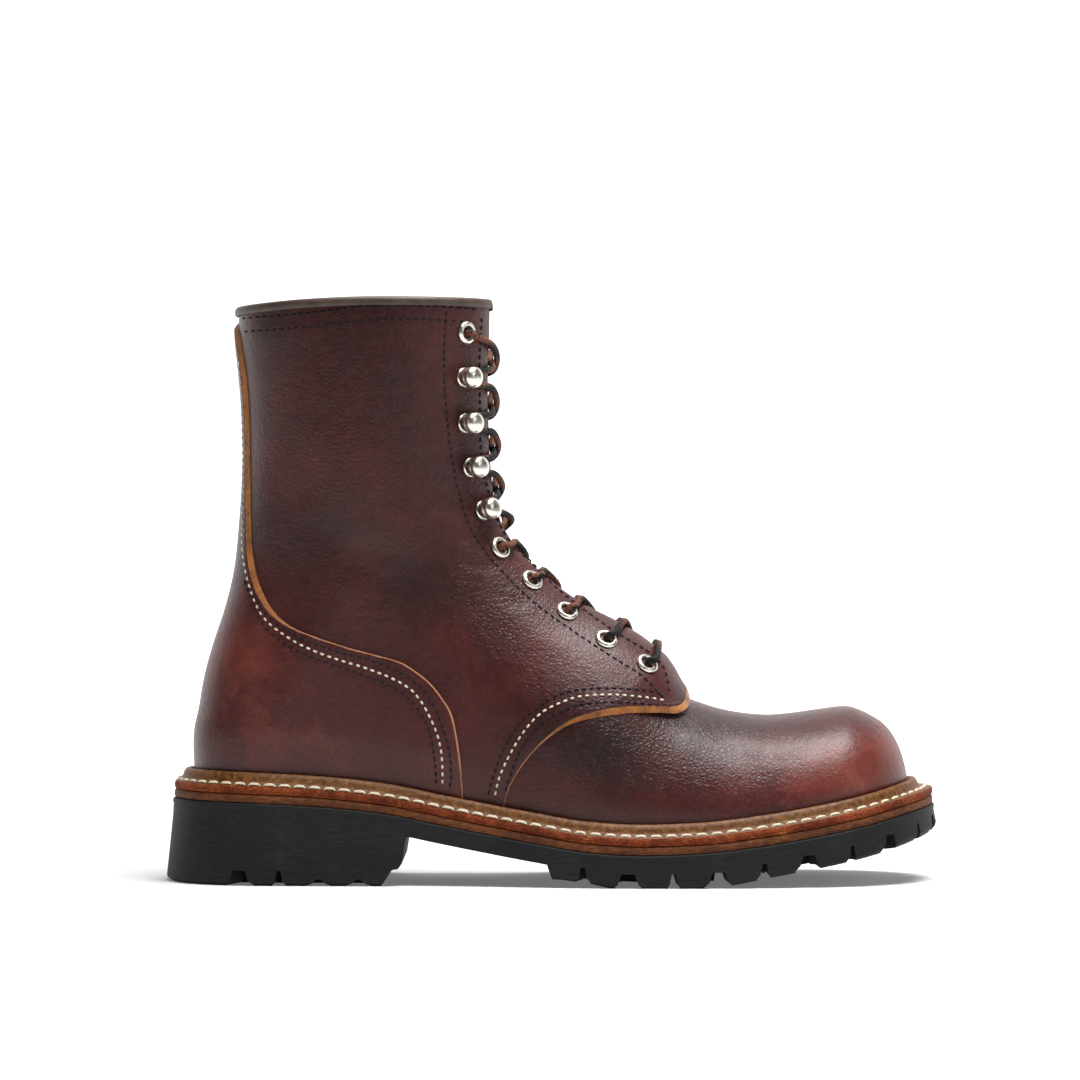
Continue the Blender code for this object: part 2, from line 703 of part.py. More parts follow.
def welt_edge(x):
    """Width of the welt from the last: wider at the heel and the toe."""
    at = share_of(x)
    wider = 0.16 * smoothstep((0.10 - at) / 0.10) + 0.34 * smoothstep((at - 0.86) / 0.14)
    return WELT_EXTENSION * (1 + wider)


def storm_welt(finish):
    """Stitched ledge with a raised bead lying against the upper."""
    bead = BEAD_WIDTH
    ledge = WELT_THICKNESS
    section = [
        (lambda x: stack_at_welt(x) + 1.5 * GAP, GAP),
        (welt_edge, GAP),
        (welt_edge, ledge),
        (lambda x: stack_at_welt(x) + 1.5 * bead, ledge + 0.06 * BEAD_HEIGHT),
        (lambda x: stack_at_welt(x) + 1.25 * bead, ledge + 0.35 * BEAD_HEIGHT),
        (lambda x: stack_at_welt(x) + 1.18 * bead, ledge + 0.75 * BEAD_HEIGHT),
        (lambda x: stack_at_welt(x) + 0.80 * bead, ledge + BEAD_HEIGHT),
        (lambda x: stack_at_welt(x) + 0.42 * bead, ledge + 0.88 * BEAD_HEIGHT),
    ]
    rings = [plan_ring(away, lambda x, h=height: bed(x) + h) for away, height in section]
    made = add_object("storm_welt", loft_closed(rings, "storm_welt", tube=True), finish)
    round_shade(made)
    return made


def midsole(finish):
    rings = [plan_ring(welt_edge, lambda x: rubber_top(x) + GAP), plan_ring(welt_edge, bed)]
    made = add_object("midsole", loft_closed(rings, "midsole"), finish)
    round_shade(made)
    return made


def insole(finish):
    inset = -VAMP_WALL - 3 * GAP
    rings = [plan_ring(inset, lambda x: bed(x) + GAP),
             plan_ring(inset, lambda x: bed(x) + GAP + INSOLE_THICKNESS)]
    made = add_object("insole", loft_closed(rings, "insole"), finish)
    round_shade(made)
    return made


def slot(shaper, spot, inward, floor, roof, width, reach):
    """Tapered slot across the edge of the tread, wider towards the ground."""
    along = Vector((-inward.y, inward.x, 0))
    box = bmesh.ops.create_cube(shaper, size=1.0)["verts"]
    for corner in box:
        top = corner.co.z > 0
        spread = width * (1.0 if top else 1.7)
        depth = reach if corner.co.x > 0 else -4 * OUTSOLE_FLARE
        where = spot + inward * depth + along * (corner.co.y * spread)
        corner.co = (where.x, where.y, roof if top else floor - LUG_DEPTH)


def slots_cutter(name, first, stop, wide_first, height_at, reach, pitch):
    """Slots along both edges from one place to another, wide and narrow by turns."""
    angles = np.linspace(0, math.pi, 361)
    shaper = bmesh.new()
    for side in (-1, 1):
        around = angles if side < 0 else -angles
        edge = plan_ring(lambda x: welt_edge(x) + OUTSOLE_FLARE, tread, around)
        inside = plan_ring(lambda x: welt_edge(x) - OUTSOLE_FLARE, tread, around)
        run = np.concatenate([[0], np.cumsum(np.hypot(np.diff(edge[:, 0]), np.diff(edge[:, 1])))])
        end = min(run[-1] - 0.55 * pitch, np.interp(stop, edge[:, 0], run))
        wide = wide_first
        for distance in np.arange(np.interp(first, edge[:, 0], run), end, pitch):
            spot = Vector([np.interp(distance, run, edge[:, k]) for k in range(2)] + [0])
            toward = Vector([np.interp(distance, run, inside[:, k]) for k in range(2)] + [0])
            toe = float(smoothstep((share_of(spot.x) - 0.80) / 0.15))
            floor, roof = height_at(spot.x)
            width = (0.30 if wide else 0.13) * LUG_PITCH * (1 - 0.35 * toe)
            slot(shaper, spot, (toward - spot).normalized(), floor, roof, width, reach * (1 - 0.55 * toe))
            wide = not wide
    bmesh.ops.recalc_face_normals(shaper, faces=shaper.faces)
    mesh = bpy.data.meshes.new(name)
    shaper.to_mesh(mesh)
    shaper.free()
    return add_object(name, mesh)


def tread_heights(x):
    return float(tread(x)), float(tread(x)) + LUG_DEPTH


def heel_heights(x):
    return 0.0, LUG_DEPTH


def groove_cutter():
    """Groove parallel to the edge, which parts the edge lugs from the middle ones."""
    angles = np.linspace(0.56 * math.pi, 1.44 * math.pi, 25)
    width = 0.22 * LUG_PITCH
    rings = []
    outer = plan_ring(lambda x: welt_edge(x) - LUG_REACH + 0.5 * width, tread, angles)
    inner = plan_ring(lambda x: welt_edge(x) - LUG_REACH - 0.5 * width, tread, angles)
    for a, b in zip(outer, inner):
        low = -LUG_DEPTH
        rings.append([(a[0], a[1], low), (a[0], a[1], a[2] + LUG_DEPTH),
                      (b[0], b[1], b[2] + LUG_DEPTH), (b[0], b[1], low)])
    return add_object("cut_groove", loft_strip(rings, "cut_groove"))


def centre_cutter():
    """Bars across the middle of the tread."""
    shaper = bmesh.new()
    first = place(0.585)
    for i in range(CENTRE_BARS):
        x = first + 1.2 * LUG_PITCH * i
        box = bmesh.ops.create_cube(shaper, size=1.0)["verts"]
        for corner in box:
            lean = 0.10 * LUG_PITCH * (1 if corner.co.z < 0 else 0)
            half = 0.5 * BALL_WIDTH - 0.72 * LUG_REACH
            at = x + math.copysign(0.14 * LUG_PITCH + lean, corner.co.x)
            height = float(tread(x)) + LUG_DEPTH if corner.co.z > 0 else -LUG_DEPTH
            corner.co = (at, corner.co.y * 2 * half, height)
    bmesh.ops.recalc_face_normals(shaper, faces=shaper.faces)
    mesh = bpy.data.meshes.new("cut_centre")
    shaper.to_mesh(mesh)
    shaper.free()
    return add_object("cut_centre", mesh)


def outsole(finish):
    """Full-length rubber: thin at the waist and under the heel, lugged at the forefoot."""
    flare = OUTSOLE_FLARE
    rings = [
        plan_ring(lambda x: welt_edge(x) + flare - 0.12 * LUG_DEPTH, tread),
        plan_ring(lambda x: welt_edge(x) + flare, lambda x: tread(x) + 0.3 * LUG_DEPTH),
        plan_ring(welt_edge, rubber_top),
    ]
    made = add_object("outsole", loft_closed(rings, "outsole"), finish)
    step = place(0.492)
    under = [(x, float(rubber_top(x)) - WAIST_RUBBER) for x in np.linspace(place(-0.2), step, 24)]
    under += [(step + 0.25 * WAIST_RUBBER, 0.25 * float(rubber_top(step))),
              (step + WAIST_RUBBER, -LUG_DEPTH), (place(-0.2), -LUG_DEPTH)]
    boolean(made, prism(under, -BALL_WIDTH, BALL_WIDTH, "cut_waist"), "DIFFERENCE")
    boolean(made, groove_cutter(), "DIFFERENCE")
    cut = slots_cutter("cut_lugs", place(0.541), place(1.2), False, tread_heights, LUG_REACH, LUG_PITCH)
    boolean(made, cut, "DIFFERENCE")
    boolean(made, centre_cutter(), "DIFFERENCE")
    floor = [(place(-0.2), 0.0), (place(1.2), 0.0), (place(1.2), -LUG_DEPTH), (place(-0.2), -LUG_DEPTH)]
    boolean(made, prism(floor, -BALL_WIDTH, BALL_WIDTH, "cut_floor"), "DIFFERENCE")
    round_shade(made)
    return made


def heel(finish):
    """Heel block under the rubber, with its own tread slots."""
    flare = OUTSOLE_FLARE
    rings = [
        plan_ring(lambda x: welt_edge(x) + 2.0 * flare - 0.4 * LUG_DEPTH, lambda x: 0 * x),
        plan_ring(lambda x: welt_edge(x) + 2.0 * flare, lambda x: 0 * x + 0.3 * LUG_DEPTH),
        plan_ring(lambda x: welt_edge(x) + 0.9 * flare, lambda x: rubber_top(x) - WAIST_RUBBER - GAP),
    ]
    made = add_object("heel", loft_closed(rings, "heel"), finish)
    behind = place(-0.2)
    breast = X_BACK - HEEL_SETBACK + HEEL_LENGTH
    region = [(behind, -LUG_DEPTH), (breast - 0.5 * LUG_DEPTH, -LUG_DEPTH),
              (breast - 0.3 * LUG_DEPTH, 0.7 * LUG_DEPTH), (breast - 0.12 * LUG_DEPTH, 0.75 * LUG_DEPTH),
              (breast, 3 * LUG_DEPTH), (breast + 0.1 * LUG_DEPTH, 2 * HEEL_LIFT), (behind, 2 * HEEL_LIFT)]
    boolean(made, prism(region, -BALL_WIDTH, BALL_WIDTH, "cut_breast"), "INTERSECT")
    cut = slots_cutter("cut_heel", place(0.067), breast - 0.6 * LUG_PITCH, True, heel_heights,
                       0.8 * LUG_REACH, 0.88 * LUG_PITCH)
    boolean(made, cut, "DIFFERENCE")
    round_shade(made)
    return made


# Lacing hardware

def turned(name, profile, finish, steps=8):
    """Profile turned about Z."""
    mesh = bpy.data.meshes.new(name)
    edges = [(i, i + 1) for i in range(len(profile) - 1)]
    if profile[0] == profile[-1]:
        profile = profile[:-1]
        edges[-1] = (len(profile) - 1, 0)
    mesh.from_pydata([(r, 0, z) for r, z in profile], edges, [])
    made = add_object(name, mesh, finish)
    spin = made.modifiers.new("turn", "SCREW")
    spin.axis = "Z"
    spin.steps = steps
    spin.render_steps = steps
    spin.use_merge_vertices = True
    spin.merge_threshold = 0.00005
    spin.use_smooth_shade = True
    return made


def stand_on(made, spot, out):
    """Put a turned piece on the leather with its axis along the normal."""
    made.rotation_euler = Vector(out).to_track_quat("Z", "Y").to_euler()
    made.location = Vector(spot)


def lacing_frames():
    """Place of every eyelet and hook: kind, side, point on the leather and normal."""
    frames = []
    for level, depth, kind in LACING:
        v = throat_level(level)
        ahead = on_line(FRONT_LINE, v + 0.01)
        behind = on_line(FRONT_LINE, v - 0.01)
        along = (ahead - behind) / np.linalg.norm(ahead - behind)
        out = np.array([along[1], -along[0]])
        spot = on_line(FRONT_LINE, v) - out * depth * EYELET_ROW_INSET
        for side in (-1, 1):
            point, normal = side_frame(spot[0], spot[1], side)
            frames.append((kind, side, seat_point(point, normal, side), normal, v))
    return frames


def eyelet_hole(name, spot, out):
    """Round cutter through the wall for an eyelet's barrel."""
    shaper = bmesh.new()
    radius = 0.5 * EYELET_HOLE + BARREL_WALL + GAP
    depth = 5 * (VAMP_WALL + QUARTER_STEP)
    bmesh.ops.create_cone(shaper, cap_ends=True, segments=8, radius1=radius, radius2=radius, depth=depth)
    mesh = bpy.data.meshes.new(name)
    shaper.to_mesh(mesh)
    shaper.free()
    cutter = add_object(name, mesh)
    stand_on(cutter, spot, out)
    return cutter


def eyelet(name, spot, out, finish):
    hole = 0.5 * EYELET_HOLE
    rim = 0.5 * EYELET_OUTER
    barrel = hole + BARREL_WALL
    depth = VAMP_WALL + QUARTER_STEP
    seat = 2.2 * GAP
    profile = [(hole, -depth), (hole, seat + BARREL_WALL), (0.5 * (hole + rim), seat + 1.7 * BARREL_WALL),
               (rim, seat + 0.8 * BARREL_WALL), (rim, seat), (barrel, seat), (barrel, -depth), (hole, -depth)]
    made = turned(name, profile, finish)
    stand_on(made, spot, out)
    return made


def lace_hook(name, spot, out, finish):
    base = 0.5 * HOOK_BASE
    ball = 0.5 * HOOK_BALL
    seat = 2.5 * GAP
    profile = [(0.0, HOOK_STAND + 0.6 * ball), (0.62 * ball, HOOK_STAND + 0.38 * ball),
               (ball, HOOK_STAND - 0.35 * ball), (0.80 * ball, HOOK_STAND - 0.85 * ball),
               (0.42 * ball, HOOK_STAND - 1.0 * ball), (0.42 * base, seat + 1.5 * BARREL_WALL),
               (0.95 * base, seat + BARREL_WALL),
               (base, seat), (0.0, seat)]
    made = turned(name, profile, finish)
    stand_on(made, spot, out)
    return made


def over_edge(v, side, rise):
    """Point a little above the throat's edge on one side."""
    width = throat_half((v - THROAT_FOOT) / (1 - THROAT_FOOT)) + GAP
    angle = angle_at_width(v, width, side, 0.0, QUARTER_STEP)
    angle = angle if side < 0 else 2 * math.pi - angle
    return form_point(np.array([angle]), np.array([v]), rise, QUARTER_STEP, FLAP_LIFT)[0]


def lace_path(start, end, start_shift=1, end_shift=-1):
    """Route from one fitting over both throat edges to the other, beside the lace already there."""
    radius = 0.5 * LACE_DIAMETER
    beside = radius + GAP
    ends = []
    for (_, side, spot, out, v), shift in ((start, start_shift), (end, end_shift)):
        ahead = on_line(FRONT_LINE, v + 0.01) - on_line(FRONT_LINE, v - 0.01)
        along = np.array([ahead[0], 0.0, ahead[1]]) / np.linalg.norm(ahead)
        middle = over_edge(v, side, radius + 6 * GAP)
        base = spot + out * (radius + 4 * GAP)
        toward = middle - base
        toward /= np.linalg.norm(toward)
        near = base + toward * (0.5 * EYELET_OUTER + radius + GAP)
        ends.append([near + along * beside * shift, middle + along * beside * shift])
    middle_v = 0.5 * (start[4] + end[4])
    front = np.array([math.pi])
    level = np.array([middle_v])
    ridge = form_point(front, level, radius, QUARTER_STEP, FLAP_LIFT)[0]
    middle = 0.5 * (0.5 * (ends[0][1] + ends[1][1]) + ridge)
    return [ends[0][0], ends[0][1], middle, ends[1][1], ends[1][0]]


def tube_mesh(points, name):
    """Round tube along a route, as a mesh with welded caps."""
    curve = bpy.data.curves.new(name, "CURVE")
    curve.dimensions = "3D"
    curve.bevel_depth = 0.5 * LACE_DIAMETER
    curve.bevel_resolution = 1
    curve.use_fill_caps = True
    line = curve.splines.new("POLY")
    line.points.add(len(points) - 1)
    for knot, point in zip(line.points, points):
        knot.co = (*point, 1.0)
    guide = bpy.data.objects.new(name, curve)
    bpy.context.scene.collection.objects.link(guide)
    bpy.context.view_layer.update()
    mesh = bpy.data.meshes.new_from_object(guide.evaluated_get(bpy.context.evaluated_depsgraph_get()))
    bpy.data.objects.remove(guide)
    shaper = bmesh.new()
    shaper.from_mesh(mesh)
    bmesh.ops.remove_doubles(shaper, verts=shaper.verts, dist=0.00001)
    bmesh.ops.recalc_face_normals(shaper, faces=shaper.faces)
    shaper.to_mesh(mesh)
    shaper.free()
    return mesh


def laces(frames, finish):
    """One straight bar at the foot of the throat and a crossing between each pair of fittings."""
    outer = frames[0::2]
    inner = frames[1::2]
    bar = add_object("lace_bar", tube_mesh(lace_path(outer[0], inner[0], -1, -1), "lace_bar"), finish)
    round_shade(bar)
    for i in range(len(outer) - 1):
        name = "lace_cross_" + str(i + 1)
        made = add_object(name, tube_mesh(lace_path(outer[i], inner[i + 1]), name), finish)
        other = add_object("second_" + name, tube_mesh(lace_path(inner[i], outer[i + 1]), name))
        boolean(made, other, "UNION")
        round_shade(made)


def main():
    for item in list(bpy.data.objects):
        bpy.data.objects.remove(item)
    leather = material("oiled_leather", "#5A3330", 0.55)
    counter_leather = material("counter_leather", "#55302C", 0.55)
    lining = material("tongue_leather", "#4A2C28", 0.6)
    binding = material("binding_leather", "#4A3B33", 0.5)
    welt = material("welt_leather", "#8D6D4B", 0.5)
    veg = material("midsole_leather", "#9C5A32", 0.7)
    board = material("insole_board", "#B08A5E", 0.7)
    rubber = material("lug_rubber", "#242728", 0.8)
    nickel = material("nickel", "#DDDBD0", 0.25, 1.0)
    cord = material("braided_lace", "#3A2A22", 0.8)
    frames = lacing_frames()
    holes = [eyelet_hole("hole_" + str(i), spot, out)
             for i, (kind, _, spot, out, _) in enumerate(frames) if kind == "eyelet"]
    upper(leather, holes)
    heel_counter(counter_leather)
    collar_binding(binding)
    tongue(lining)
    insole(board)
    storm_welt(welt)
    midsole(veg)
    outsole(rubber)
    heel(rubber)
    for i, (kind, side, spot, out, _) in enumerate(frames):
        name = ("outer_" if side < 0 else "inner_") + str(i // 2 + 1)
        if kind == "eyelet":
            eyelet("eyelet_" + name, spot, out, nickel)
        else:
            lace_hook("lace_hook_" + name, spot, out, nickel)
    laces(frames, cord)


main()
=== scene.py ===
# %% [markdown]
# # Logger boot: the looks
#
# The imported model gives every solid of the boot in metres, with +X to the toe, -Y to the outer side
# and the floor at z = 0. This script dresses it. The leather of a real boot is pulled over a last, the
# foot-shaped block, so the script first makes the last as one smooth surface. Every leather layer is
# then that surface moved along its own normals, which is why the layers follow each other as cut and
# sewn leather does.

# %% Load the frame
import math

import bmesh
import bpy
import numpy as np
from mathutils import Matrix, Vector


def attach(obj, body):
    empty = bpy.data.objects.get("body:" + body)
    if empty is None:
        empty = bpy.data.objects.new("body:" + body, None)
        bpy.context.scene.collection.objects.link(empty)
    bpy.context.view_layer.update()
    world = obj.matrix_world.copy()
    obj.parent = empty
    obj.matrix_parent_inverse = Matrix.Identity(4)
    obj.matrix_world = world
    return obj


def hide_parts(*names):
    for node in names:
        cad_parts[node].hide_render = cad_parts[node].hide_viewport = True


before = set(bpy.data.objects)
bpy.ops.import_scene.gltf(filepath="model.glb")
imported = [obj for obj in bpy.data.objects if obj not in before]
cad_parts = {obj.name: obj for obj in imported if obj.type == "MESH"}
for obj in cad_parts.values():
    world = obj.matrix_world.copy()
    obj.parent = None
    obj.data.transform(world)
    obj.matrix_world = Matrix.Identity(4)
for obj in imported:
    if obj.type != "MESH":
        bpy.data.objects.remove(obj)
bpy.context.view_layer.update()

# %% [markdown]
# ## Sizes
#
# These are the boot's own sizes, as in the CAD source. Places along the boot are shares of the upper's
# length, and heights are shares of the shaft's, so a row of a table reads as a place on the boot.

# %% The boot's sizes in metres
UPPER_LENGTH = 0.2873
BALL_WIDTH = 0.0990
HEEL_WIDTH = 0.0631
SHAFT_WIDTH = 0.0790
SHAFT_RISE = 0.2060
TOE_RISE = 0.0437
HEEL_CURVE = 0.0215
VAMP_WALL = 0.0016
QUARTER_STEP = 0.0014
COUNTER_THICKNESS = 0.0016
FLAP_LIFT = 0.0030
TONGUE_THICKNESS = 0.0024
BINDING_HEIGHT = 0.0036
BINDING_THICKNESS = 0.0010
THROAT_WIDTH = 0.0240
EYELET_OUTER = 0.0094
EYELET_HOLE = 0.0052
EYELET_ROW_INSET = 0.0086
HOOK_BASE = 0.0081
HOOK_BALL = 0.0080
HOOK_STAND = 0.0062
LACE_DIAMETER = 0.0028
HEEL_LIFT = 0.0336
MIDSOLE_THICKNESS = 0.0035
WELT_THICKNESS = 0.0034
BEAD_HEIGHT = 0.0053
BEAD_WIDTH = 0.0034
WELT_EXTENSION = 0.0078
OUTSOLE_FLARE = 0.0016
WAIST_RUBBER = 0.0072
HEEL_LENGTH = 0.0975
LUG_DEPTH = 0.0060
LUG_PITCH = 0.0180
LUG_REACH = 0.0230
INSOLE_THICKNESS = 0.0030
GAP = 0.0003
HEEL_SETBACK = 1.16 * WELT_EXTENSION + 2 * OUTSOLE_FLARE
TOE_SETBACK = 1.34 * WELT_EXTENSION + OUTSOLE_FLARE
X_BACK = HEEL_SETBACK - 0.5 * (HEEL_SETBACK + UPPER_LENGTH + TOE_SETBACK)
THROAT_FOOT = 0.425
ANKLE = 0.42
VAMP_BED = 0.50

# %% Outlines as short tables
# Top of the rubber: place, height as a share of the heel lift
RUBBER_TOP = [
    (-0.06, 1.003), (0.08, 0.970), (0.18, 0.925), (0.27, 0.842), (0.34, 0.725), (0.41, 0.610),
    (0.48, 0.505), (0.55, 0.410), (0.625, 0.378), (0.70, 0.400), (0.78, 0.475), (0.86, 0.585),
    (0.93, 0.705), (1.00, 0.850), (1.05, 0.945),
]
# Tread ahead of the waist: place, height as a share of the heel lift
TREAD_LINE = [
    (-0.06, 0.10), (0.50, 0.10), (0.555, 0.05), (0.590, -0.012), (0.705, -0.012), (0.75, 0.042),
    (0.80, 0.125), (0.86, 0.215), (0.935, 0.350), (1.00, 0.510), (1.05, 0.655),
]
# Back of the upper: share of the shaft rise, set-in as a share of the heel curve
BACK_CURVE = [
    (0.000, 0.00), (0.055, 0.00), (0.105, 0.07), (0.150, 0.17), (0.200, 0.25), (0.245, 0.35),
    (0.290, 0.48), (0.340, 0.64), (0.390, 0.77), (0.440, 0.86), (0.500, 0.92), (0.570, 0.97),
    (0.640, 1.00), (0.700, 0.99), (0.760, 0.96), (0.830, 0.90), (0.880, 0.85), (0.935, 0.84),
]
# Toe and vamp ridge: place, share of the toe rise above the midsole
TOE_CURVE = [
    (1.000, 0.00), (1.001, 0.20), (0.990, 0.49), (0.972, 0.71), (0.948, 0.86), (0.918, 0.98),
    (0.880, 1.01), (0.842, 1.02), (0.800, 1.045), (0.755, 1.115), (0.715, 1.215), (0.680, 1.335),
]
# Instep and throat ridge: place, share of the shaft rise
THROAT_CURVE = [
    (0.655, 0.320), (0.630, 0.353), (0.590, 0.396), (0.545, 0.437), (0.500, 0.485),
    (0.462, 0.531), (0.440, 0.568), (0.424, 0.620), (0.416, 0.690), (0.412, 0.775),
    (0.411, 0.865), (0.412, 0.945), (0.413, 1.015),
]
# Collar: share of the way to the front, share of the shaft rise
COLLAR_LINE = [(0.0, 0.935), (0.10, 0.955), (0.30, 0.990), (0.55, 1.012), (1.0, 1.015)]
# Footprint: place, outer edge, inner edge, middle line, ridge radius, as shares of the ball width
FOOTPRINT = [
    (-0.02, -0.315, 0.305, -0.005, 0.36), (0.12, -0.325, 0.312, -0.005, 0.40),
    (0.28, -0.345, 0.295, -0.015, 0.48), (0.40, -0.390, 0.275, -0.030, 0.54),
    (0.50, -0.455, 0.325, -0.035, 0.58), (0.60, -0.497, 0.425, -0.020, 0.58),
    (0.70, -0.500, 0.492, 0.005, 0.52), (0.80, -0.478, 0.501, 0.025, 0.45),
    (0.90, -0.430, 0.490, 0.050, 0.42), (1.02, -0.370, 0.475, 0.075, 0.42),
]
# Shaft: share of the shaft rise, half width as a share of the shaft width
SHAFT_HALF = [
    (0.00, 0.405), (0.12, 0.425), (0.30, 0.425), (0.42, 0.430), (0.55, 0.455), (0.70, 0.485),
    (0.85, 0.500), (1.05, 0.508),
]
# Cut edge of the quarters over the vamp: place, height as a share of the shaft rise
VAMP_SEAM = [
    (0.395, -0.20), (0.432, 0.045), (0.447, 0.105), (0.466, 0.150), (0.492, 0.192),
    (0.524, 0.225), (0.560, 0.242), (0.600, 0.250), (0.640, 0.247), (0.668, 0.240),
    (0.680, 0.255), (0.677, 0.300), (0.677, 0.620),
]
# Cut edge of the counter and its backstay: place, height as a share of the shaft rise
COUNTER_SEAM = [
    (0.376, 0.003), (0.375, 0.048), (0.371, 0.124), (0.361, 0.195), (0.346, 0.228),
    (0.328, 0.253), (0.307, 0.269), (0.284, 0.280), (0.222, 0.292), (0.173, 0.308),
    (0.136, 0.326), (0.110, 0.352), (0.0915, 0.397), (0.082, 0.457), (0.080, 0.530),
    (0.079, 0.700), (0.075, 0.800), (0.062, 0.915), (0.056, 0.921),
]
# Lacing row: share of the throat ridge, depth as a share of the row inset, fitting
LACING = [
    (0.040, 0.50, "eyelet"), (0.150, 0.74, "eyelet"), (0.256, 0.70, "eyelet"), (0.359, 0.66, "eyelet"),
    (0.454, 0.73, "eyelet"), (0.536, 0.77, "hook"), (0.629, 1.01, "hook"), (0.726, 1.12, "hook"),
    (0.827, 1.14, "hook"), (0.927, 1.05, "eyelet"),
]

# %% [markdown]
# ## Reading the tables
#
# A table holds only a few rows, so the values between them come from a smooth curve that never
# overshoots. An outline in the side view is a rounded line through its rows, cut into even steps.

# %% Smooth curves through a few rows


def place(share):
    """X of a share of the upper's length."""
    return X_BACK + share * UPPER_LENGTH


def share_of(x):
    """Share of the upper's length at an x, the other way round from place."""
    return (np.asarray(x, dtype=float) - X_BACK) / UPPER_LENGTH


def smoothstep(t):
    """Eased step from 0 to 1, for blends without a corner."""
    t = np.clip(t, 0.0, 1.0)
    return t * t * (3 - 2 * t)


def through(rows, column, at):
    """Smooth value of a table's column, without overshoot."""
    table = np.array(rows, dtype=float)
    knots = table[:, 0]
    values = table[:, column]
    slopes = np.diff(values) / np.diff(knots)
    inner = np.where(slopes[:-1] * slopes[1:] > 0,
                     2 * slopes[:-1] * slopes[1:] / (slopes[:-1] + slopes[1:] + 1e-12), 0.0)
    slopes = np.concatenate([[slopes[0]], inner, [slopes[-1]]])
    at = np.clip(at, knots[0], knots[-1])
    i = np.clip(np.searchsorted(knots, at, side="right") - 1, 0, len(knots) - 2)
    step = knots[i + 1] - knots[i]
    t = (at - knots[i]) / step
    return ((1 + 2 * t) * (1 - t) ** 2 * values[i] + t * (1 - t) ** 2 * step * slopes[i]
            + t * t * (3 - 2 * t) * values[i + 1] + t * t * (t - 1) * step * slopes[i + 1])


def run_along(line):
    """Distance along a line at each of its points."""
    return np.concatenate([[0], np.cumsum(np.linalg.norm(np.diff(line, axis=0), axis=1))])


def smooth_line(points, count):
    """Even points along a rounded line through a few points."""
    points = np.array(points, dtype=float)
    ends = np.vstack([2 * points[0] - points[1], points, 2 * points[-1] - points[-2]])
    dense = []
    for i in range(1, len(ends) - 2):
        a, b, c, d = ends[i - 1], ends[i], ends[i + 1], ends[i + 2]
        for t in np.linspace(0, 1, 12, endpoint=False):
            dense.append(0.5 * (2 * b + (c - a) * t + (2 * a - 5 * b + 4 * c - d) * t * t
                                + (3 * b - a - 3 * c + d) * t ** 3))
    dense = np.array(dense + [ends[-2]])
    run = run_along(dense)
    even = np.linspace(0, run[-1], count)
    return np.stack([np.interp(even, run, dense[:, k]) for k in range(dense.shape[1])], axis=1)


def rubber_top(x):
    """Height of the rubber's upper edge."""
    return HEEL_LIFT * through(RUBBER_TOP, 1, share_of(x))


def bed(x):
    """Top of the midsole, which the upper stands on."""
    return rubber_top(x) + MIDSOLE_THICKNESS


def tread(x):
    """Height of the tread ahead of the waist, where 0 and less is the floor."""
    return HEEL_LIFT * through(TREAD_LINE, 1, share_of(x))


print("upper from x =", round(X_BACK, 4), "to", round(place(1), 4))

# %% [markdown]
# ## The last
#
# The side view has four edges: the back, the ridge over the toe and up the throat, the welt line and
# the collar. Blending them gives a point for any share s from back to front and v from the welt to the
# collar. The width at that point comes from the footprint low down and from the leg's oval higher up,
# and it closes in a rounded way towards the back and the ridge. So two numbers, an angle round the
# boot and a level, give any point of the last.

# %% Side view of the last


def throat_row(at, rise):
    """Side-view point of a throat row, whose height counts from the bed under the ankle."""
    here = bed(place(at))
    return place(at), here + rise * SHAFT_RISE - (here - bed(place(ANKLE))) * (1 - rise)


BED_CLEAR = 2 * GAP
BACK_LINE = smooth_line(
    [(X_BACK + inset * HEEL_CURVE, bed(X_BACK) + BED_CLEAR + rise * SHAFT_RISE)
     for rise, inset in BACK_CURVE], 160)
FRONT_LINE = smooth_line(
    [(place(at), bed(place(at)) + BED_CLEAR + rise * TOE_RISE) for at, rise in TOE_CURVE]
    + [throat_row(at, rise) for at, rise in THROAT_CURVE], 260)


def on_line(line, t):
    """Point of an even line at a share of its length, and past its ends in a straight run."""
    at = np.asarray(t, dtype=float) * (len(line) - 1)
    steps = np.arange(len(line))
    inside = np.clip(at, 0, len(line) - 1)
    point = np.stack([np.interp(inside, steps, line[:, k]) for k in range(2)], axis=-1)
    before = np.minimum(at, 0)[..., None] * (line[1] - line[0])
    after = np.maximum(at - (len(line) - 1), 0)[..., None] * (line[-1] - line[-2])
    return point + before + after


def feather_line(s):
    """Lower edge of the leather in the side view, from back to front."""
    x = BACK_LINE[0, 0] + (FRONT_LINE[0, 0] - BACK_LINE[0, 0]) * s
    return np.stack([x, bed(x) + BED_CLEAR], axis=-1)


def collar_line(s):
    """Upper edge of the shaft in the side view, from back to front."""
    x = BACK_LINE[-1, 0] + (FRONT_LINE[-1, 0] - BACK_LINE[-1, 0]) * s
    low = through(COLLAR_LINE, 1, s)
    start = BACK_LINE[-1, 1]
    end = FRONT_LINE[-1, 1]
    share = (low - COLLAR_LINE[0][1]) / (COLLAR_LINE[-1][1] - COLLAR_LINE[0][1])
    return np.stack([x, start + (end - start) * share], axis=-1)


def side_point(s, v):
    """Side-view point of the last at a share from back to front and a level."""
    s = np.asarray(s, dtype=float)
    v = np.asarray(v, dtype=float)
    sv = s[..., None]
    vv = v[..., None]
    corners = ((1 - sv) * (1 - vv) * BACK_LINE[0] + sv * (1 - vv) * FRONT_LINE[0]
               + (1 - sv) * vv * BACK_LINE[-1] + sv * vv * FRONT_LINE[-1])
    return ((1 - sv) * on_line(BACK_LINE, v) + sv * on_line(FRONT_LINE, v)
            + (1 - vv) * feather_line(s) + vv * collar_line(s) - corners)


print("lines of the side view:", len(BACK_LINE), "and", len(FRONT_LINE), "points")

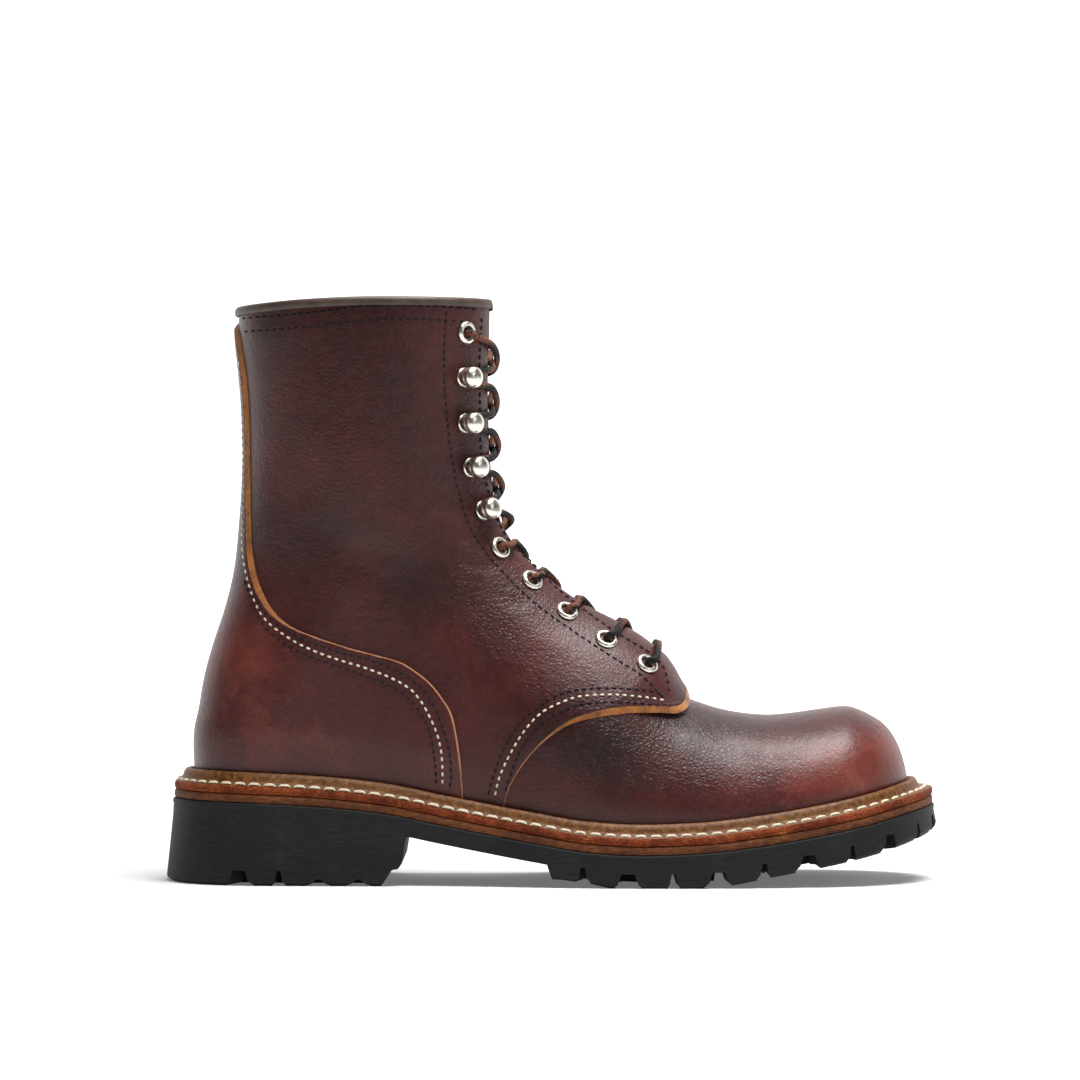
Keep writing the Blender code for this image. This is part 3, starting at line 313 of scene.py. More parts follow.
# %% Width of the last
BLOCK = 8000


def distance_to(line, x, z):
    """Shortest distance from points to a line of straight pieces, a block of points at a time."""
    x = np.asarray(x, dtype=float)
    flat_x = x.reshape(-1)
    flat_z = np.asarray(z, dtype=float).reshape(-1)
    a = line[:-1]
    d = line[1:] - line[:-1]
    length = (d ** 2).sum(1)
    found = np.empty(len(flat_x))
    for start in range(0, len(flat_x), BLOCK):
        px = flat_x[start:start + BLOCK, None]
        pz = flat_z[start:start + BLOCK, None]
        t = np.clip(((px - a[:, 0]) * d[:, 0] + (pz - a[:, 1]) * d[:, 1]) / length, 0, 1)
        off = np.hypot(px - a[:, 0] - t * d[:, 0], pz - a[:, 1] - t * d[:, 1])
        found[start:start + BLOCK] = off.min(1)
    return found.reshape(x.shape)


BACK_REACH = np.vstack([on_line(BACK_LINE, -0.2), BACK_LINE, on_line(BACK_LINE, 1.2)])
FRONT_REACH = np.vstack([on_line(FRONT_LINE, -0.2), FRONT_LINE, on_line(FRONT_LINE, 1.2)])
HEEL_GROWTH = HEEL_WIDTH / (BALL_WIDTH * (FOOTPRINT[1][2] - FOOTPRINT[1][1]))


def roundness(distance, radius, power):
    """Share of the full width this near an edge of the side view."""
    t = np.clip(distance / radius, 0.0, 1.0)
    return (1 - (1 - t) ** power) ** (1 / power)


def half_side(x, z, side):
    """Y of the last's outer (side -1) or inner (side 1) face at a side-view point."""
    at = share_of(x)
    rise = (z - bed(X_BACK)) / SHAFT_RISE
    foot = BALL_WIDTH * through(FOOTPRINT, 1 if side < 0 else 2, at)
    heel_share = 1 + (HEEL_GROWTH - 1) * smoothstep((0.45 - at) / 0.25)
    leg = side * SHAFT_WIDTH * through(SHAFT_HALF, 1, rise)
    up = smoothstep((rise - 0.08) / 0.40)
    middle = BALL_WIDTH * through(FOOTPRINT, 3, at) * (1 - up)
    edge = foot * heel_share * (1 - up) + leg * up
    tuck = 1 - 0.035 * (1 - smoothstep((z - bed(x)) / (5 * WELT_THICKNESS)))
    front = roundness(distance_to(FRONT_REACH, x, z), BALL_WIDTH * through(FOOTPRINT, 4, at), 2.2)
    back_radius = 0.5 * HEEL_WIDTH + (0.62 * SHAFT_WIDTH - 0.5 * HEEL_WIDTH) * up
    back = roundness(distance_to(BACK_REACH, x, z), back_radius, 2.1)
    return middle + (edge - middle) * tuck * front * back


def last_point(angle, v):
    """Point of the last: angle 0 at the back, pi at the front, outer side first."""
    flat = side_point(0.5 * (1 - np.cos(angle)), v)
    outer = half_side(flat[..., 0], flat[..., 1], -1)
    inner = half_side(flat[..., 0], flat[..., 1], 1)
    y = np.where(np.sin(angle) >= 0, outer, inner)
    return np.stack([flat[..., 0], y, flat[..., 1]], axis=-1)


def last_normal(angle, v):
    """Unit normal out of the last, from small steps along its surface."""
    along = last_point(angle + 0.02, v) - last_point(angle - 0.02, v)
    up = last_point(angle, v + 0.004) - last_point(angle, v - 0.004)
    out = np.cross(along, up)
    return out / np.linalg.norm(out, axis=-1, keepdims=True)


def unit(vector):
    """The same directions at length one."""
    return vector / np.linalg.norm(vector, axis=-1, keepdims=True)


print("heel's width against the plain footprint:", round(HEEL_GROWTH, 3))

# %% [markdown]
# ## Thickness of the layers and the creases
#
# Lapped leather is skived, that is pared thin, where it goes under the welt, so the layers swell from
# the welt upwards. The lacing flaps stand a little off the instep. A boot that has never been worn has
# only a few soft folds: where the leather was pulled round the ankle and over the instep. Each is one
# row of a table, as a trough (minus) or a ridge (plus) along three points of the side view.

# %% Layer heights
# Folds: from, by and to (x, z in mm), half width in mm, height in mm, sides that carry it
CREASES = [
    ((-52, 166), (-45, 163), (-37, 163), 2.2, -0.22, "both"),
    ((-55, 158), (-46, 155), (-36, 156), 2.0, -0.20, "both"),
    ((-54, 149), (-43, 146), (-33, 149), 2.4, -0.26, "both"),
    ((-48, 141), (-37, 137), (-27, 141), 2.2, -0.22, "both"),
    ((-40, 131), (-29, 126), (-19, 129), 2.4, -0.24, "outer"),
    ((-28, 119), (-17, 112), (-6, 114), 2.6, -0.24, "outer"),
    ((-60, 172), (-50, 171), (-41, 173), 1.8, -0.16, "outer"),
    ((-98, 150), (-84, 136), (-66, 126), 8.0, -0.55, "both"),
    ((-66, 128), (-48, 116), (-30, 104), 9.0, -0.50, "both"),
    ((-92, 188), (-80, 168), (-70, 146), 11.0, 0.45, "outer"),
    ((-30, 118), (-8, 100), (18, 86), 5.0, 0.35, "both"),
    ((-40, 96), (-22, 84), (-2, 80), 6.0, -0.30, "outer"),
    ((60, 62), (74, 50), (80, 38), 7.0, -0.28, "both"),
    ((72, 66), (86, 54), (92, 42), 6.0, 0.20, "both"),
    ((30, 60), (22, 50), (18, 40), 7.0, -0.22, "inner"),
    ((-112, 84), (-104, 66), (-104, 48), 8.0, 0.25, "both"),
]


def crease_height(point):
    """Height of all the listed folds at points of the last."""
    total = np.zeros(len(point))
    for start, by, end, half_width, height, sides in CREASES:
        line = smooth_line(np.array([start, by, end]) * 0.001, 14)
        near = np.abs(point[:, 0] - line[7, 0]) < 0.05
        if sides != "both":
            near &= (point[:, 1] < 0) == (sides == "outer")
        x = point[near, 0]
        z = point[near, 2]
        away = distance_to(line, x, z) / (half_width * 0.001)
        ends = np.minimum(np.hypot(x - line[0, 0], z - line[0, 1]),
                          np.hypot(x - line[-1, 0], z - line[-1, 1]))
        fade = smoothstep(0.25 + ends / (0.5 * np.linalg.norm(line[-1] - line[0])))
        total[near] += 0.001 * height * np.exp(-away ** 2) * fade
    return total


def skived(point):
    """Share of a lapped layer's full thickness: thin at the welt, full above the bead."""
    height = point[..., 2] - bed(point[..., 0]) - WELT_THICKNESS
    return 0.25 + 0.75 * smoothstep((height - 0.5 * BEAD_HEIGHT) / (4 * BEAD_HEIGHT))


def layer_height(base, laps, lift):
    """How far the lapped layers and the lacing flaps stand off the last at a point."""
    near = distance_to(FRONT_REACH, base[..., 0], base[..., 2])
    at = share_of(base[..., 0])
    ahead = smoothstep((at - 0.50) / 0.14) * (1 - smoothstep((at - 0.71) / 0.05))
    return laps * skived(base) + lift * np.exp(-(near / (0.6 * THROAT_WIDTH)) ** 2) * ahead


def throat_half(share):
    """Half the throat's opening, narrower towards its foot."""
    return 0.5 * THROAT_WIDTH * (0.76 + 0.24 * smoothstep(share / 0.6))


print("folds placed by hand:", len(CREASES))

# %% One fine grid of the last, which all the leather layers share
COLUMNS = 440
ROWS = 190


def eased_toe(point, angle):
    """Y of the grid points with the toe's swell evened out, as lasting pliers pull the leather there."""
    width = point[:, 1].reshape(ROWS, COLUMNS)
    for _ in range(24):
        width = 0.5 * width + 0.25 * (np.roll(width, 1, axis=1) + np.roll(width, -1, axis=1))
    far_from_ridge = smoothstep((np.abs(angle - math.pi) - 0.12) / 0.25)
    share = smoothstep((point[:, 0] - 0.075) / 0.030) * far_from_ridge
    return point[:, 1] + (width.reshape(-1) - point[:, 1]) * share


def last_grid():
    """Points, normals, angles and levels of the last, row by row from the welt to the collar."""
    angle, level = np.meshgrid(np.linspace(0, 2 * math.pi, COLUMNS, endpoint=False), np.linspace(0, 1, ROWS))
    angle = angle.reshape(-1)
    level = level.reshape(-1)
    point = last_point(angle, level)
    point[:, 1] = eased_toe(point, angle)
    normal = last_normal(angle, level)
    return {"point": point, "normal": normal, "angle": angle, "level": level,
            "crease": crease_height(point), "flap": layer_height(point, 0.0, FLAP_LIFT)}


GRID = last_grid()
print("grid of the last:", ROWS, "rows of", COLUMNS, "points")

# %% [markdown]
# ## Cutting a layer
#
# A pattern piece is a region of the last. Its edge is where a signed distance is zero: positive inside
# the piece and negative outside. Each grid cell that the edge crosses is clipped there, so the cut is
# clean and follows the line drawn on the last and not the grid. The clipped sheet then gets its
# thickness, and a wall round its cut edge, which takes the raw-edge material.

# %% Signed distance to a pattern line


def inside_outline(outline, x, z):
    """Signed distance in the side view to a closed outline, positive inside."""
    line = np.vstack([outline, outline[:1]])
    distance = distance_to(line, x, z)
    inside = np.zeros(len(x), dtype=bool)
    for (ax, az), (bx, bz) in zip(line[:-1], line[1:]):
        if az != bz:
            crosses = (az > z) != (bz > z)
            inside ^= crosses & (x < (bx - ax) * (z - az) / (bz - az) + ax)
    return np.where(inside, distance, -distance)


def vamp_outline():
    """Side-view region ahead of the quarters' cut edge."""
    rows = []
    for at, rise in VAMP_SEAM:
        over = smoothstep(rise / 0.3)
        level = bed(place(at)) * (1 - over) + bed(place(VAMP_BED)) * over
        rows.append((place(at), level + rise * SHAFT_RISE))
    line = smooth_line(rows, 120)
    ahead = place(1.3)
    return np.vstack([line, [(ahead, line[-1][1]), (ahead, line[0][1])]])


def counter_outline():
    """Side-view region behind the counter's cut edge."""
    rows = [(place(at), bed(place(at)) + rise * SHAFT_RISE) for at, rise in COUNTER_SEAM]
    rows[0] = (rows[0][0], rows[0][1] - 0.004)
    line = smooth_line(rows, 120)
    behind = place(-0.3)
    return np.vstack([line, [(behind, line[-1][1]), (behind, line[0][1])]])


VAMP_OUTLINE = vamp_outline()
COUNTER_OUTLINE = counter_outline()


def throat_distance(grid):
    """Signed distance into the throat's opening: positive where the throat is open."""
    point = grid["point"]
    share = (grid["level"] - THROAT_FOOT) / (1 - THROAT_FOOT)
    half = throat_half(np.clip(share, 0, 1))
    ahead = np.abs(grid["angle"] - math.pi) < 0.5 * math.pi
    foot = share * (1 - THROAT_FOOT) * 0.36
    round_half = half * np.sqrt(np.clip(1 - (1 - np.clip(foot / 0.010, 0, 1)) ** 2, 0, 1))
    opening = np.where(share > 0, round_half - np.abs(point[:, 1]), -0.004)
    return np.where(ahead, opening, -0.02)


# %% Clip, thicken and close a layer
ON_EDGE = 2e-6


def clipped_sheet(value):
    """Grid cells cut along value = 0: corners as (from, to, share) and polygons of corner numbers."""
    value = np.where(np.abs(value) < ON_EDGE, ON_EDGE, value)
    corners = []
    number = {}

    def corner(a, b=None):
        """Number of a kept grid point, or of the cut point between two."""
        key = (a, a) if b is None else (min(a, b), max(a, b))
        if key not in number:
            number[key] = len(corners)
            low, high = key
            share = 0.0 if low == high else value[low] / (value[low] - value[high])
            corners.append((low, high, share))
        return number[key]

    polygons = []
    keep = value > 0
    cells = np.arange((ROWS - 1) * COLUMNS)
    row = cells // COLUMNS
    column = cells % COLUMNS
    right = (column + 1) % COLUMNS
    quads = np.stack([row * COLUMNS + column, row * COLUMNS + right,
                      (row + 1) * COLUMNS + right, (row + 1) * COLUMNS + column], axis=1)
    held = keep[quads].sum(1)
    for quad in quads[held == 4]:
        polygons.append([corner(int(k)) for k in quad])
    for quad in quads[(held > 0) & (held < 4)]:
        polygon = []
        for k in range(4):
            a = int(quad[k])
            b = int(quad[(k + 1) % 4])
            if keep[a]:
                polygon.append(corner(a))
            if keep[a] != keep[b]:
                polygon.append(corner(a, b))
        if len(polygon) > 2:
            polygons.append(polygon)
    return np.array(corners), polygons


def mixed(values, corners):
    """Grid values at the corners of a clipped sheet."""
    low = values[corners[:, 0].astype(int)]
    high = values[corners[:, 1].astype(int)]
    share = corners[:, 2] if values.ndim == 1 else corners[:, 2:3]
    return low + (high - low) * share


def rim_of(polygons):
    """Edges of a sheet that only one polygon uses, in that polygon's direction."""
    used = {}
    for polygon in polygons:
        for a, b in zip(polygon, polygon[1:] + polygon[:1]):
            used[(a, b)] = True
    return [(a, b) for a, b in used if (b, a) not in used]


def mesh_object(name, points, faces, finishes, face_finish=None, marks=None, sharp=40):
    """An object from points and faces, with its materials and its painted marks."""
    mesh = bpy.data.meshes.new(name)
    mesh.from_pydata([tuple(p) for p in points], [], faces)
    for finish in finishes:
        mesh.materials.append(finish)
    if face_finish is not None:
        mesh.polygons.foreach_set("material_index", face_finish)
    for mark, values in (marks or {}).items():
        layer = mesh.attributes.new(mark, "FLOAT", "POINT")
        layer.data.foreach_set("value", np.asarray(values, dtype=np.float32))
    mesh.validate()
    mesh.shade_smooth()
    mesh.set_sharp_from_angle(angle=math.radians(sharp))
    made = bpy.data.objects.new(name, mesh)
    bpy.context.scene.collection.objects.link(made)
    return made


def leather_layer(name, value, outside, inside, finishes, slant):
    """Closed layer where value is positive, between two heights off the last. slant pares its edge."""
    corners, polygons = clipped_sheet(value)
    base = mixed(GRID["point"], corners)
    normal = unit(mixed(GRID["normal"], corners))
    top_height = mixed(outside, corners)
    low_height = mixed(inside, corners)
    rim = rim_of(polygons)
    on_rim = np.zeros(len(base), dtype=bool)
    outward = np.zeros_like(base)
    top = base + normal * top_height[:, None]
    for a, b in rim:
        away = np.cross(top[b] - top[a], normal[a])
        away /= np.linalg.norm(away) + 1e-12
        on_rim[[a, b]] = True
        outward[a] += away
        outward[b] += away
    outward[on_rim] = unit(outward[on_rim])
    thick = (top_height - low_height)[:, None]
    low = base + normal * low_height[:, None] + outward * mixed(slant, corners)[:, None]
    shoulder = np.where(on_rim[:, None], top - normal * 0.10 * thick, top)
    count = len(base)
    rim_ids = np.flatnonzero(on_rim)
    middle_number = {int(k): 2 * count + i for i, k in enumerate(rim_ids)}
    middle = (0.5 * (shoulder + low) + outward * 0.10 * thick)[rim_ids]
    faces = [list(p) for p in polygons]
    faces += [[count + k for k in p[::-1]] for p in polygons]
    kind = [0] * len(faces)
    for a, b in rim:
        faces.append([b, a, middle_number[a], middle_number[b]])
        faces.append([middle_number[b], middle_number[a], count + a, count + b])
        kind += [1, 1]
    points = np.vstack([shoulder, low, middle])
    marks = leather_marks(np.vstack([base, base, base[rim_ids]]))
    made = mesh_object(name, points, faces, finishes, kind, marks)
    print(name, "faces:", len(faces))
    return made

# %% [markdown]
# ## Marks on the leather
#
# The leather's colour lies in soft patches: lighter and redder at the toe, the heel and a few other
# places, darker plum in others. The patches hold the leather's own uneven colour together with painted
# shade and a painted sheen. The grain is pebbled over the vamp and the front of the shaft and pulled
# smooth at the toe. Each mark is a soft patch placed on the boot, stored as a number on every point of
# the mesh, which the material reads through an Attribute node.

# %% Patches
# Colour patches, the leather's uneven colour with painted shade and sheen in them: x, z (mm), half length,
# half height (mm), change (minus is darker plum, plus is redder)
TONE_AND_SHADE_PATCHES = [
    (-101, 216, 26, 15, -0.28), (-66, 207, 22, 24, -0.20), (-92, 168, 24, 22, 0.10),
    (-46, 196, 14, 22, 0.02), (-101, 138, 20, 15, -0.26), (-62, 118, 30, 16, -0.20),
    (-40, 168, 14, 18, -0.12), (-126, 92, 18, 26, 0.26), (-92, 56, 30, 18, 0.12),
    (-60, 60, 16, 22, -0.08), (-28, 76, 14, 18, 0.12), (4, 96, 26, 12, 0.16),
    (40, 84, 12, 12, 0.12), (14, 56, 22, 16, -0.46), (40, 48, 22, 16, -0.16),
    (62, 66, 22, 9, -0.18), (96, 66, 26, 7, -0.26), (76, 44, 14, 14, 0.10),
    (124, 46, 22, 20, 0.42), (100, 40, 26, 12, 0.26), (140, 58, 10, 18, 0.30),
]
# Pebbled grain: x, z (mm), half length, half height (mm), strength
GRAIN_PATCHES = [
    (24, 54, 30, 20, 1.00), (58, 58, 22, 16, 0.65), (-50, 196, 24, 36, 0.60), (-36, 150, 22, 26, 0.70),
    (-80, 196, 26, 30, 0.45), (-90, 150, 30, 30, 0.30), (-20, 112, 24, 18, 0.70), (10, 92, 24, 12, 0.50),
    (-30, 74, 14, 20, 0.25), (-60, 100, 24, 20, 0.30), (84, 48, 16, 16, 0.40),
]
LEAST_GRAIN = 0.26


def patched(rows, point):
    """Sum of soft patches at points of the last."""
    total = np.zeros(len(point))
    for x, z, half_length, half_height, change in rows:
        away = (((point[:, 0] * 1000 - x) / half_length) ** 2
                + ((point[:, 2] * 1000 - z) / half_height) ** 2)
        total += change * np.exp(-away)
    return total


print("patches of tone:", len(TONE_AND_SHADE_PATCHES), "and of grain:", len(GRAIN_PATCHES))


def leather_marks(point):
    """Colour patches with painted shade and sheen in them, and grain, at points of the last, with some grain
    everywhere.
    """
    grain = LEAST_GRAIN + 0.85 * patched(GRAIN_PATCHES, point)
    return {"tone_and_shade": patched(TONE_AND_SHADE_PATCHES, point), "grain": np.clip(grain, 0, 1)}


# %% [markdown]
# ## Materials
#
# Each material is a small node tree on a Principled shader. Colours are given as the sRGB hex values
# that a screen shows, and one function turns them to the linear values that the shader adds up. Another
# adds a node with its settings and its links, so that a tree reads from top to bottom.

# %% Helpers for materials


def linear(code):
    """Linear colour of an sRGB hex code."""
    channels = [int(code[i:i + 2], 16) / 255 for i in (1, 3, 5)]
    return (*[c / 12.92 if c <= 0.04045 else ((c + 0.055) / 1.055) ** 2.4 for c in channels], 1.0)


def add(tree, kind, inputs=None, stops=None, **settings):
    """Add a node: its settings, its inputs as values or as sockets to link, and the stops of a ramp."""
    node = tree.nodes.new("ShaderNode" + kind)
    for name, value in settings.items():
        setattr(node, name, value)
    for name, value in (inputs or {}).items():
        if isinstance(value, bpy.types.NodeSocket):
            tree.links.new(value, node.inputs[name])
        else:
            node.inputs[name].default_value = value
    if stops:
        ramp = node.color_ramp
        while len(ramp.elements) < len(stops):
            ramp.elements.new(0.5)
        for element, (position, code) in zip(ramp.elements, stops):
            element.position = position
            element.color = linear(code)
    return node


def surface(name, **values):
    """A new material and its tree, with plain values set on the Principled shader."""
    made = bpy.data.materials.new(name)
    made.use_nodes = True
    shader = made.node_tree.nodes["Principled BSDF"]
    for socket, value in values.items():
        shader.inputs[socket.replace("_", " ")].default_value = value
    return made, made.node_tree, shader


def link(tree, output, shader, socket):
    """Join one output to a socket of the shader."""
    tree.links.new(output, shader.inputs[socket])


def per_mm(size):
    """Pattern scale for a feature of a size in millimetres, in object coordinates of metres."""
    return 1000.0 / size


# %% [markdown]
# ### Oiled pull-up leather
#
# Full-grain cowhide, drum-dyed, stuffed with oils and waxes and left without a plastic finish. The eye
# gets three things from it: a mottle of plum and red-brown from the oils moving in the hide, a pebble
# grain of cells 1 to 2 mm wide parted by fine valleys, and a soft broad sheen that breaks up in the
# grain. The mottle is noise on top of the colour patches stored on the mesh, which carry painted shade
# and a painted sheen as well, the pebbles are a Voronoi pattern bent by noise, with their valleys
# darkened in the colour as painted shade, and the sheen comes from a middling roughness with a thin
# waxy coat.

# %% Leather of the upper


def pull_up_leather(name, shift=0.0, coat=0.10):
    """Oiled leather. shift makes a piece redder or darker, as each is cut from its own part of the hide."""
    made, tree, shader = surface(name, IOR=1.5, Coat_Weight=coat, Coat_Roughness=0.26, Coat_IOR=1.45,
                                 Specular_IOR_Level=0.30)
    where = add(tree, "TexCoord").outputs["Object"]
    # The patches read here hold the leather's uneven colour with painted shade and a painted sheen in them
    tone_and_shade = add(tree, "Attribute", attribute_name="tone_and_shade").outputs["Fac"]
    grain = add(tree, "Attribute", attribute_name="grain").outputs["Fac"]
    cloud = add(tree, "TexNoise", {"Vector": where, "Scale": per_mm(26), "Detail": 5.0, "Roughness": 0.55})
    mottle = add(tree, "TexNoise", {"Vector": where, "Scale": per_mm(3.4), "Detail": 4.0, "Roughness": 0.6})
    base = add(tree, "Math", {0: tone_and_shade, 1: 0.5, 2: 0.5 + shift}, operation="MULTIPLY_ADD").outputs[0]
    clouded = add(tree, "Math", {0: cloud.outputs["Fac"], 1: 0.52, 2: base},
                  operation="MULTIPLY_ADD").outputs[0]
    spotted = add(tree, "Math", {0: mottle.outputs["Fac"], 1: 0.26, 2: clouded},
                  operation="MULTIPLY_ADD").outputs[0]
    level = add(tree, "Math", {0: spotted, 1: 0.44}, operation="SUBTRACT").outputs[0]

    bend = add(tree, "TexNoise", {"Vector": where, "Scale": per_mm(4.0), "Detail": 2.0})
    bent = add(tree, "VectorMath", {0: bend.outputs["Color"], 1: (0.0016, 0.0016, 0.0016), 2: where},
               operation="MULTIPLY_ADD").outputs[0]
    pebble = add(tree, "TexVoronoi", {"Vector": bent, "Scale": per_mm(1.8), "Randomness": 1.0},
                 feature="DISTANCE_TO_EDGE").outputs["Distance"]
    valley = add(tree, "MapRange", {0: pebble, 1: 0.0, 2: 0.32, 3: 0.0, 4: 1.0},
                 interpolation_type="SMOOTHSTEP").outputs[0]
    patchy = add(tree, "TexNoise", {"Vector": where, "Scale": per_mm(9), "Detail": 3.0}).outputs["Fac"]
    broken = add(tree, "MapRange", {0: patchy, 1: 0.30, 2: 0.70, 3: 0.45, 4: 1.0}).outputs[0]
    strength = add(tree, "Math", {0: grain, 1: broken}, operation="MULTIPLY").outputs[0]
    sunk = add(tree, "Math", {0: 1.0, 1: valley}, operation="SUBTRACT").outputs[0]
    cut = add(tree, "Math", {0: sunk, 1: strength}, operation="MULTIPLY").outputs[0]
    pores = add(tree, "TexNoise", {"Vector": where, "Scale": per_mm(0.55), "Detail": 3.0, "Roughness": 0.65})
    pulled = add(tree, "TexNoise", {"Vector": where, "Scale": per_mm(2.6), "Detail": 3.0, "Roughness": 0.5})

    # Pebble valleys darkened in the base colour: painted shade in the grain's recesses
    darker = add(tree, "Math", {0: cut, 1: -0.24, 2: level}, operation="MULTIPLY_ADD").outputs[0]
    colour = add(tree, "ValToRGB", {"Fac": darker}, stops=[
        (0.05, "#1d0a0b"), (0.30, "#341211"), (0.50, "#461a18"), (0.72, "#6a2f25"), (0.95, "#8a4936")])
    link(tree, colour.outputs["Color"], shader, "Base Color")
    gloss = add(tree, "MapRange", {0: mottle.outputs["Fac"], 1: 0.3, 2: 0.7, 3: 0.33, 4: 0.43}).outputs[0]
    rough = add(tree, "Math", {0: cut, 1: 0.14, 2: gloss}, operation="MULTIPLY_ADD").outputs[0]
    link(tree, rough, shader, "Roughness")

    fine = add(tree, "Bump", {"Strength": 1.0, "Distance": 0.00011, "Height": pores.outputs["Fac"]})
    soft = add(tree, "Bump", {"Strength": 1.0, "Distance": 0.00022, "Height": pulled.outputs["Fac"],
                              "Normal": fine.outputs[0]})
    deep = add(tree, "Bump", {"Strength": 1.0, "Distance": 0.00019, "Height": cut, "Normal": soft.outputs[0]},
               invert=True)
    link(tree, deep.outputs[0], shader, "Normal")
    return made


VAMP_LEATHER = pull_up_leather("pull_up_leather_vamp", 0.02)
QUARTER_LEATHER = pull_up_leather("pull_up_leather_quarters", 0.0)
COUNTER_LEATHER = pull_up_leather("pull_up_leather_counter", 0.05)
TONGUE_LEATHER = pull_up_leather("pull_up_leather_tongue", -0.10)
print("leathers:", [made.name for made in (VAMP_LEATHER, QUARTER_LEATHER, COUNTER_LEATHER, TONGUE_LEATHER)])

# %% [markdown]
# ### Cut leather edge
#
# Where a piece is cut, the undyed fibre inside the hide shows: a napped tan, oiled darker in places.

# %% Raw edge


def cut_edge(name, dark, light):
    """Napped fibre in two browns, for the wall round each cut piece."""
    made, tree, shader = surface(name, Roughness=0.85, IOR=1.45, Sheen_Weight=0.25, Sheen_Roughness=0.5)
    where = add(tree, "TexCoord").outputs["Object"]
    fibre = add(tree, "TexNoise", {"Vector": where, "Scale": per_mm(0.7), "Detail": 4.0, "Roughness": 0.7})
    broad = add(tree, "TexNoise", {"Vector": where, "Scale": per_mm(7), "Detail": 2.0})
    both = add(tree, "Math", {0: fibre.outputs["Fac"], 1: broad.outputs["Fac"]}, operation="ADD").outputs[0]
    halved = add(tree, "Math", {0: both, 1: 0.5}, operation="MULTIPLY").outputs[0]
    colour = add(tree, "ValToRGB", {"Fac": halved}, stops=[(0.35, dark), (0.65, light)])
    link(tree, colour.outputs["Color"], shader, "Base Color")
    nap = add(tree, "Bump", {"Strength": 1.0, "Distance": 0.0003, "Height": fibre.outputs["Fac"]})
    link(tree, nap.outputs[0], shader, "Normal")
    return made


RAW_EDGE = cut_edge("cut_leather_edge", "#6b3c1a", "#b5722f")
print("edge:", RAW_EDGE.name)

# %% [markdown]
# ## The leather pieces
#
# The vamp covers the toe and reaches back under the quarters, which wrap the heel and rise up the leg.
# The counter with its backstay is a third piece on top. The throat is an opening in the quarters, so
# their region takes away both the vamp's part and the throat's.

# %% Vamp, quarters and counter
POINT = GRID["point"]
SEAM_VALUE = inside_outline(VAMP_OUTLINE, POINT[:, 0], POINT[:, 2])
THROAT_VALUE = throat_distance(GRID)
COUNTER_VALUE = inside_outline(COUNTER_OUTLINE, POINT[:, 0], POINT[:, 2])
FOLDS = GRID["crease"]
UNDERLAP = 0.007
EVEN = np.ones(len(POINT))


def flap_value():
    """Positive between the two lacing flaps at the foot of the throat, where they stand apart."""
    low = place(0.62)
    ahead = np.minimum(POINT[:, 0] - low, POINT[:, 2] - (bed(low) + 0.20 * SHAFT_RISE))
    return np.minimum(ahead, throat_half(0.0) + GAP - np.abs(POINT[:, 1]))


def quarter(name, side):
    """One quarter. The two meet at the back, under the backstay, so each is a piece of its own."""
    own_side = -side * np.sin(GRID["angle"]) * 0.5 * HEEL_WIDTH - GAP
    value = np.minimum.reduce([-SEAM_VALUE, -THROAT_VALUE, -flap_value(), own_side])
    inside = GRID["flap"] + (GAP / 6 + FOLDS) * OVER_VAMP - VAMP_WALL * (1 - OVER_VAMP)
    # The tip over the vamp is pared longest, so that its tan edge shows
    tip = (smoothstep((POINT[:, 0] + 0.010) / 0.035)
           * smoothstep((0.36 * SHAFT_RISE + bed(0) - POINT[:, 2]) / 0.010))
    return leather_layer(name, value, QUARTER_TOP, inside, [QUARTER_LEATHER, RAW_EDGE], 0.0003 + 0.0022 * tip)


vamp_value = np.minimum(SEAM_VALUE + UNDERLAP, -THROAT_VALUE - 2 * GAP)
vamp = leather_layer("vamp", vamp_value, FOLDS, -VAMP_WALL * EVEN, [VAMP_LEATHER, RAW_EDGE], 0 * EVEN)
OVER_VAMP = smoothstep((SEAM_VALUE + UNDERLAP + 0.0015) / 0.0015)
QUARTER_TOP = QUARTER_STEP * skived(POINT) + GRID["flap"] + FOLDS
quarter_outer = quarter("quarter_outer", -1)
quarter_inner = quarter("quarter_inner", 1)
BACKSTAY = smoothstep((-0.100 - POINT[:, 0]) / 0.020)
counter = leather_layer("counter", COUNTER_VALUE, QUARTER_TOP + GAP + COUNTER_THICKNESS * skived(POINT),
                        QUARTER_TOP + GAP / 6, [COUNTER_LEATHER, RAW_EDGE], 0.0004 + 0.0016 * BACKSTAY)

# %% [markdown]
# ## Collar binding
#
# A strip of thin leather folded over the top edge and stitched through. Its section is a flattened
# loop, swept round the collar from one side of the throat to the other.

# %% Binding
binding_leather, tree, shader = surface("binding_leather", Roughness=0.5, IOR=1.5)
# Thin waxed calf: dark brown, smooth, with a dull shine along its fold
where = add(tree, "TexCoord").outputs["Object"]
shade = add(tree, "TexNoise", {"Vector": where, "Scale": per_mm(4), "Detail": 4.0})
colour = add(tree, "ValToRGB", {"Fac": shade.outputs["Fac"]}, stops=[(0.3, "#2e1f19"), (0.7, "#48352b")])
link(tree, colour.outputs["Color"], shader, "Base Color")
fine = add(tree, "TexNoise", {"Vector": where, "Scale": per_mm(0.6), "Detail": 3.0})
bump = add(tree, "Bump", {"Strength": 1.0, "Distance": 0.0001, "Height": fine.outputs["Fac"]})
link(tree, bump.outputs[0], shader, "Normal")


def strip_faces(rings, count, closed=False):
    """Quads between rings of the same count, with end caps unless the strip is closed."""
    faces = []
    last = rings if closed else rings - 1
    for i in range(last):
        for j in range(count):
            k = (j + 1) % count
            low = i * count
            high = ((i + 1) % rings) * count
            faces.append((low + j, low + k, high + k, high + j))
    if not closed:
        faces += [tuple(range(count - 1, -1, -1)), tuple(range((rings - 1) * count, rings * count))]
    return faces


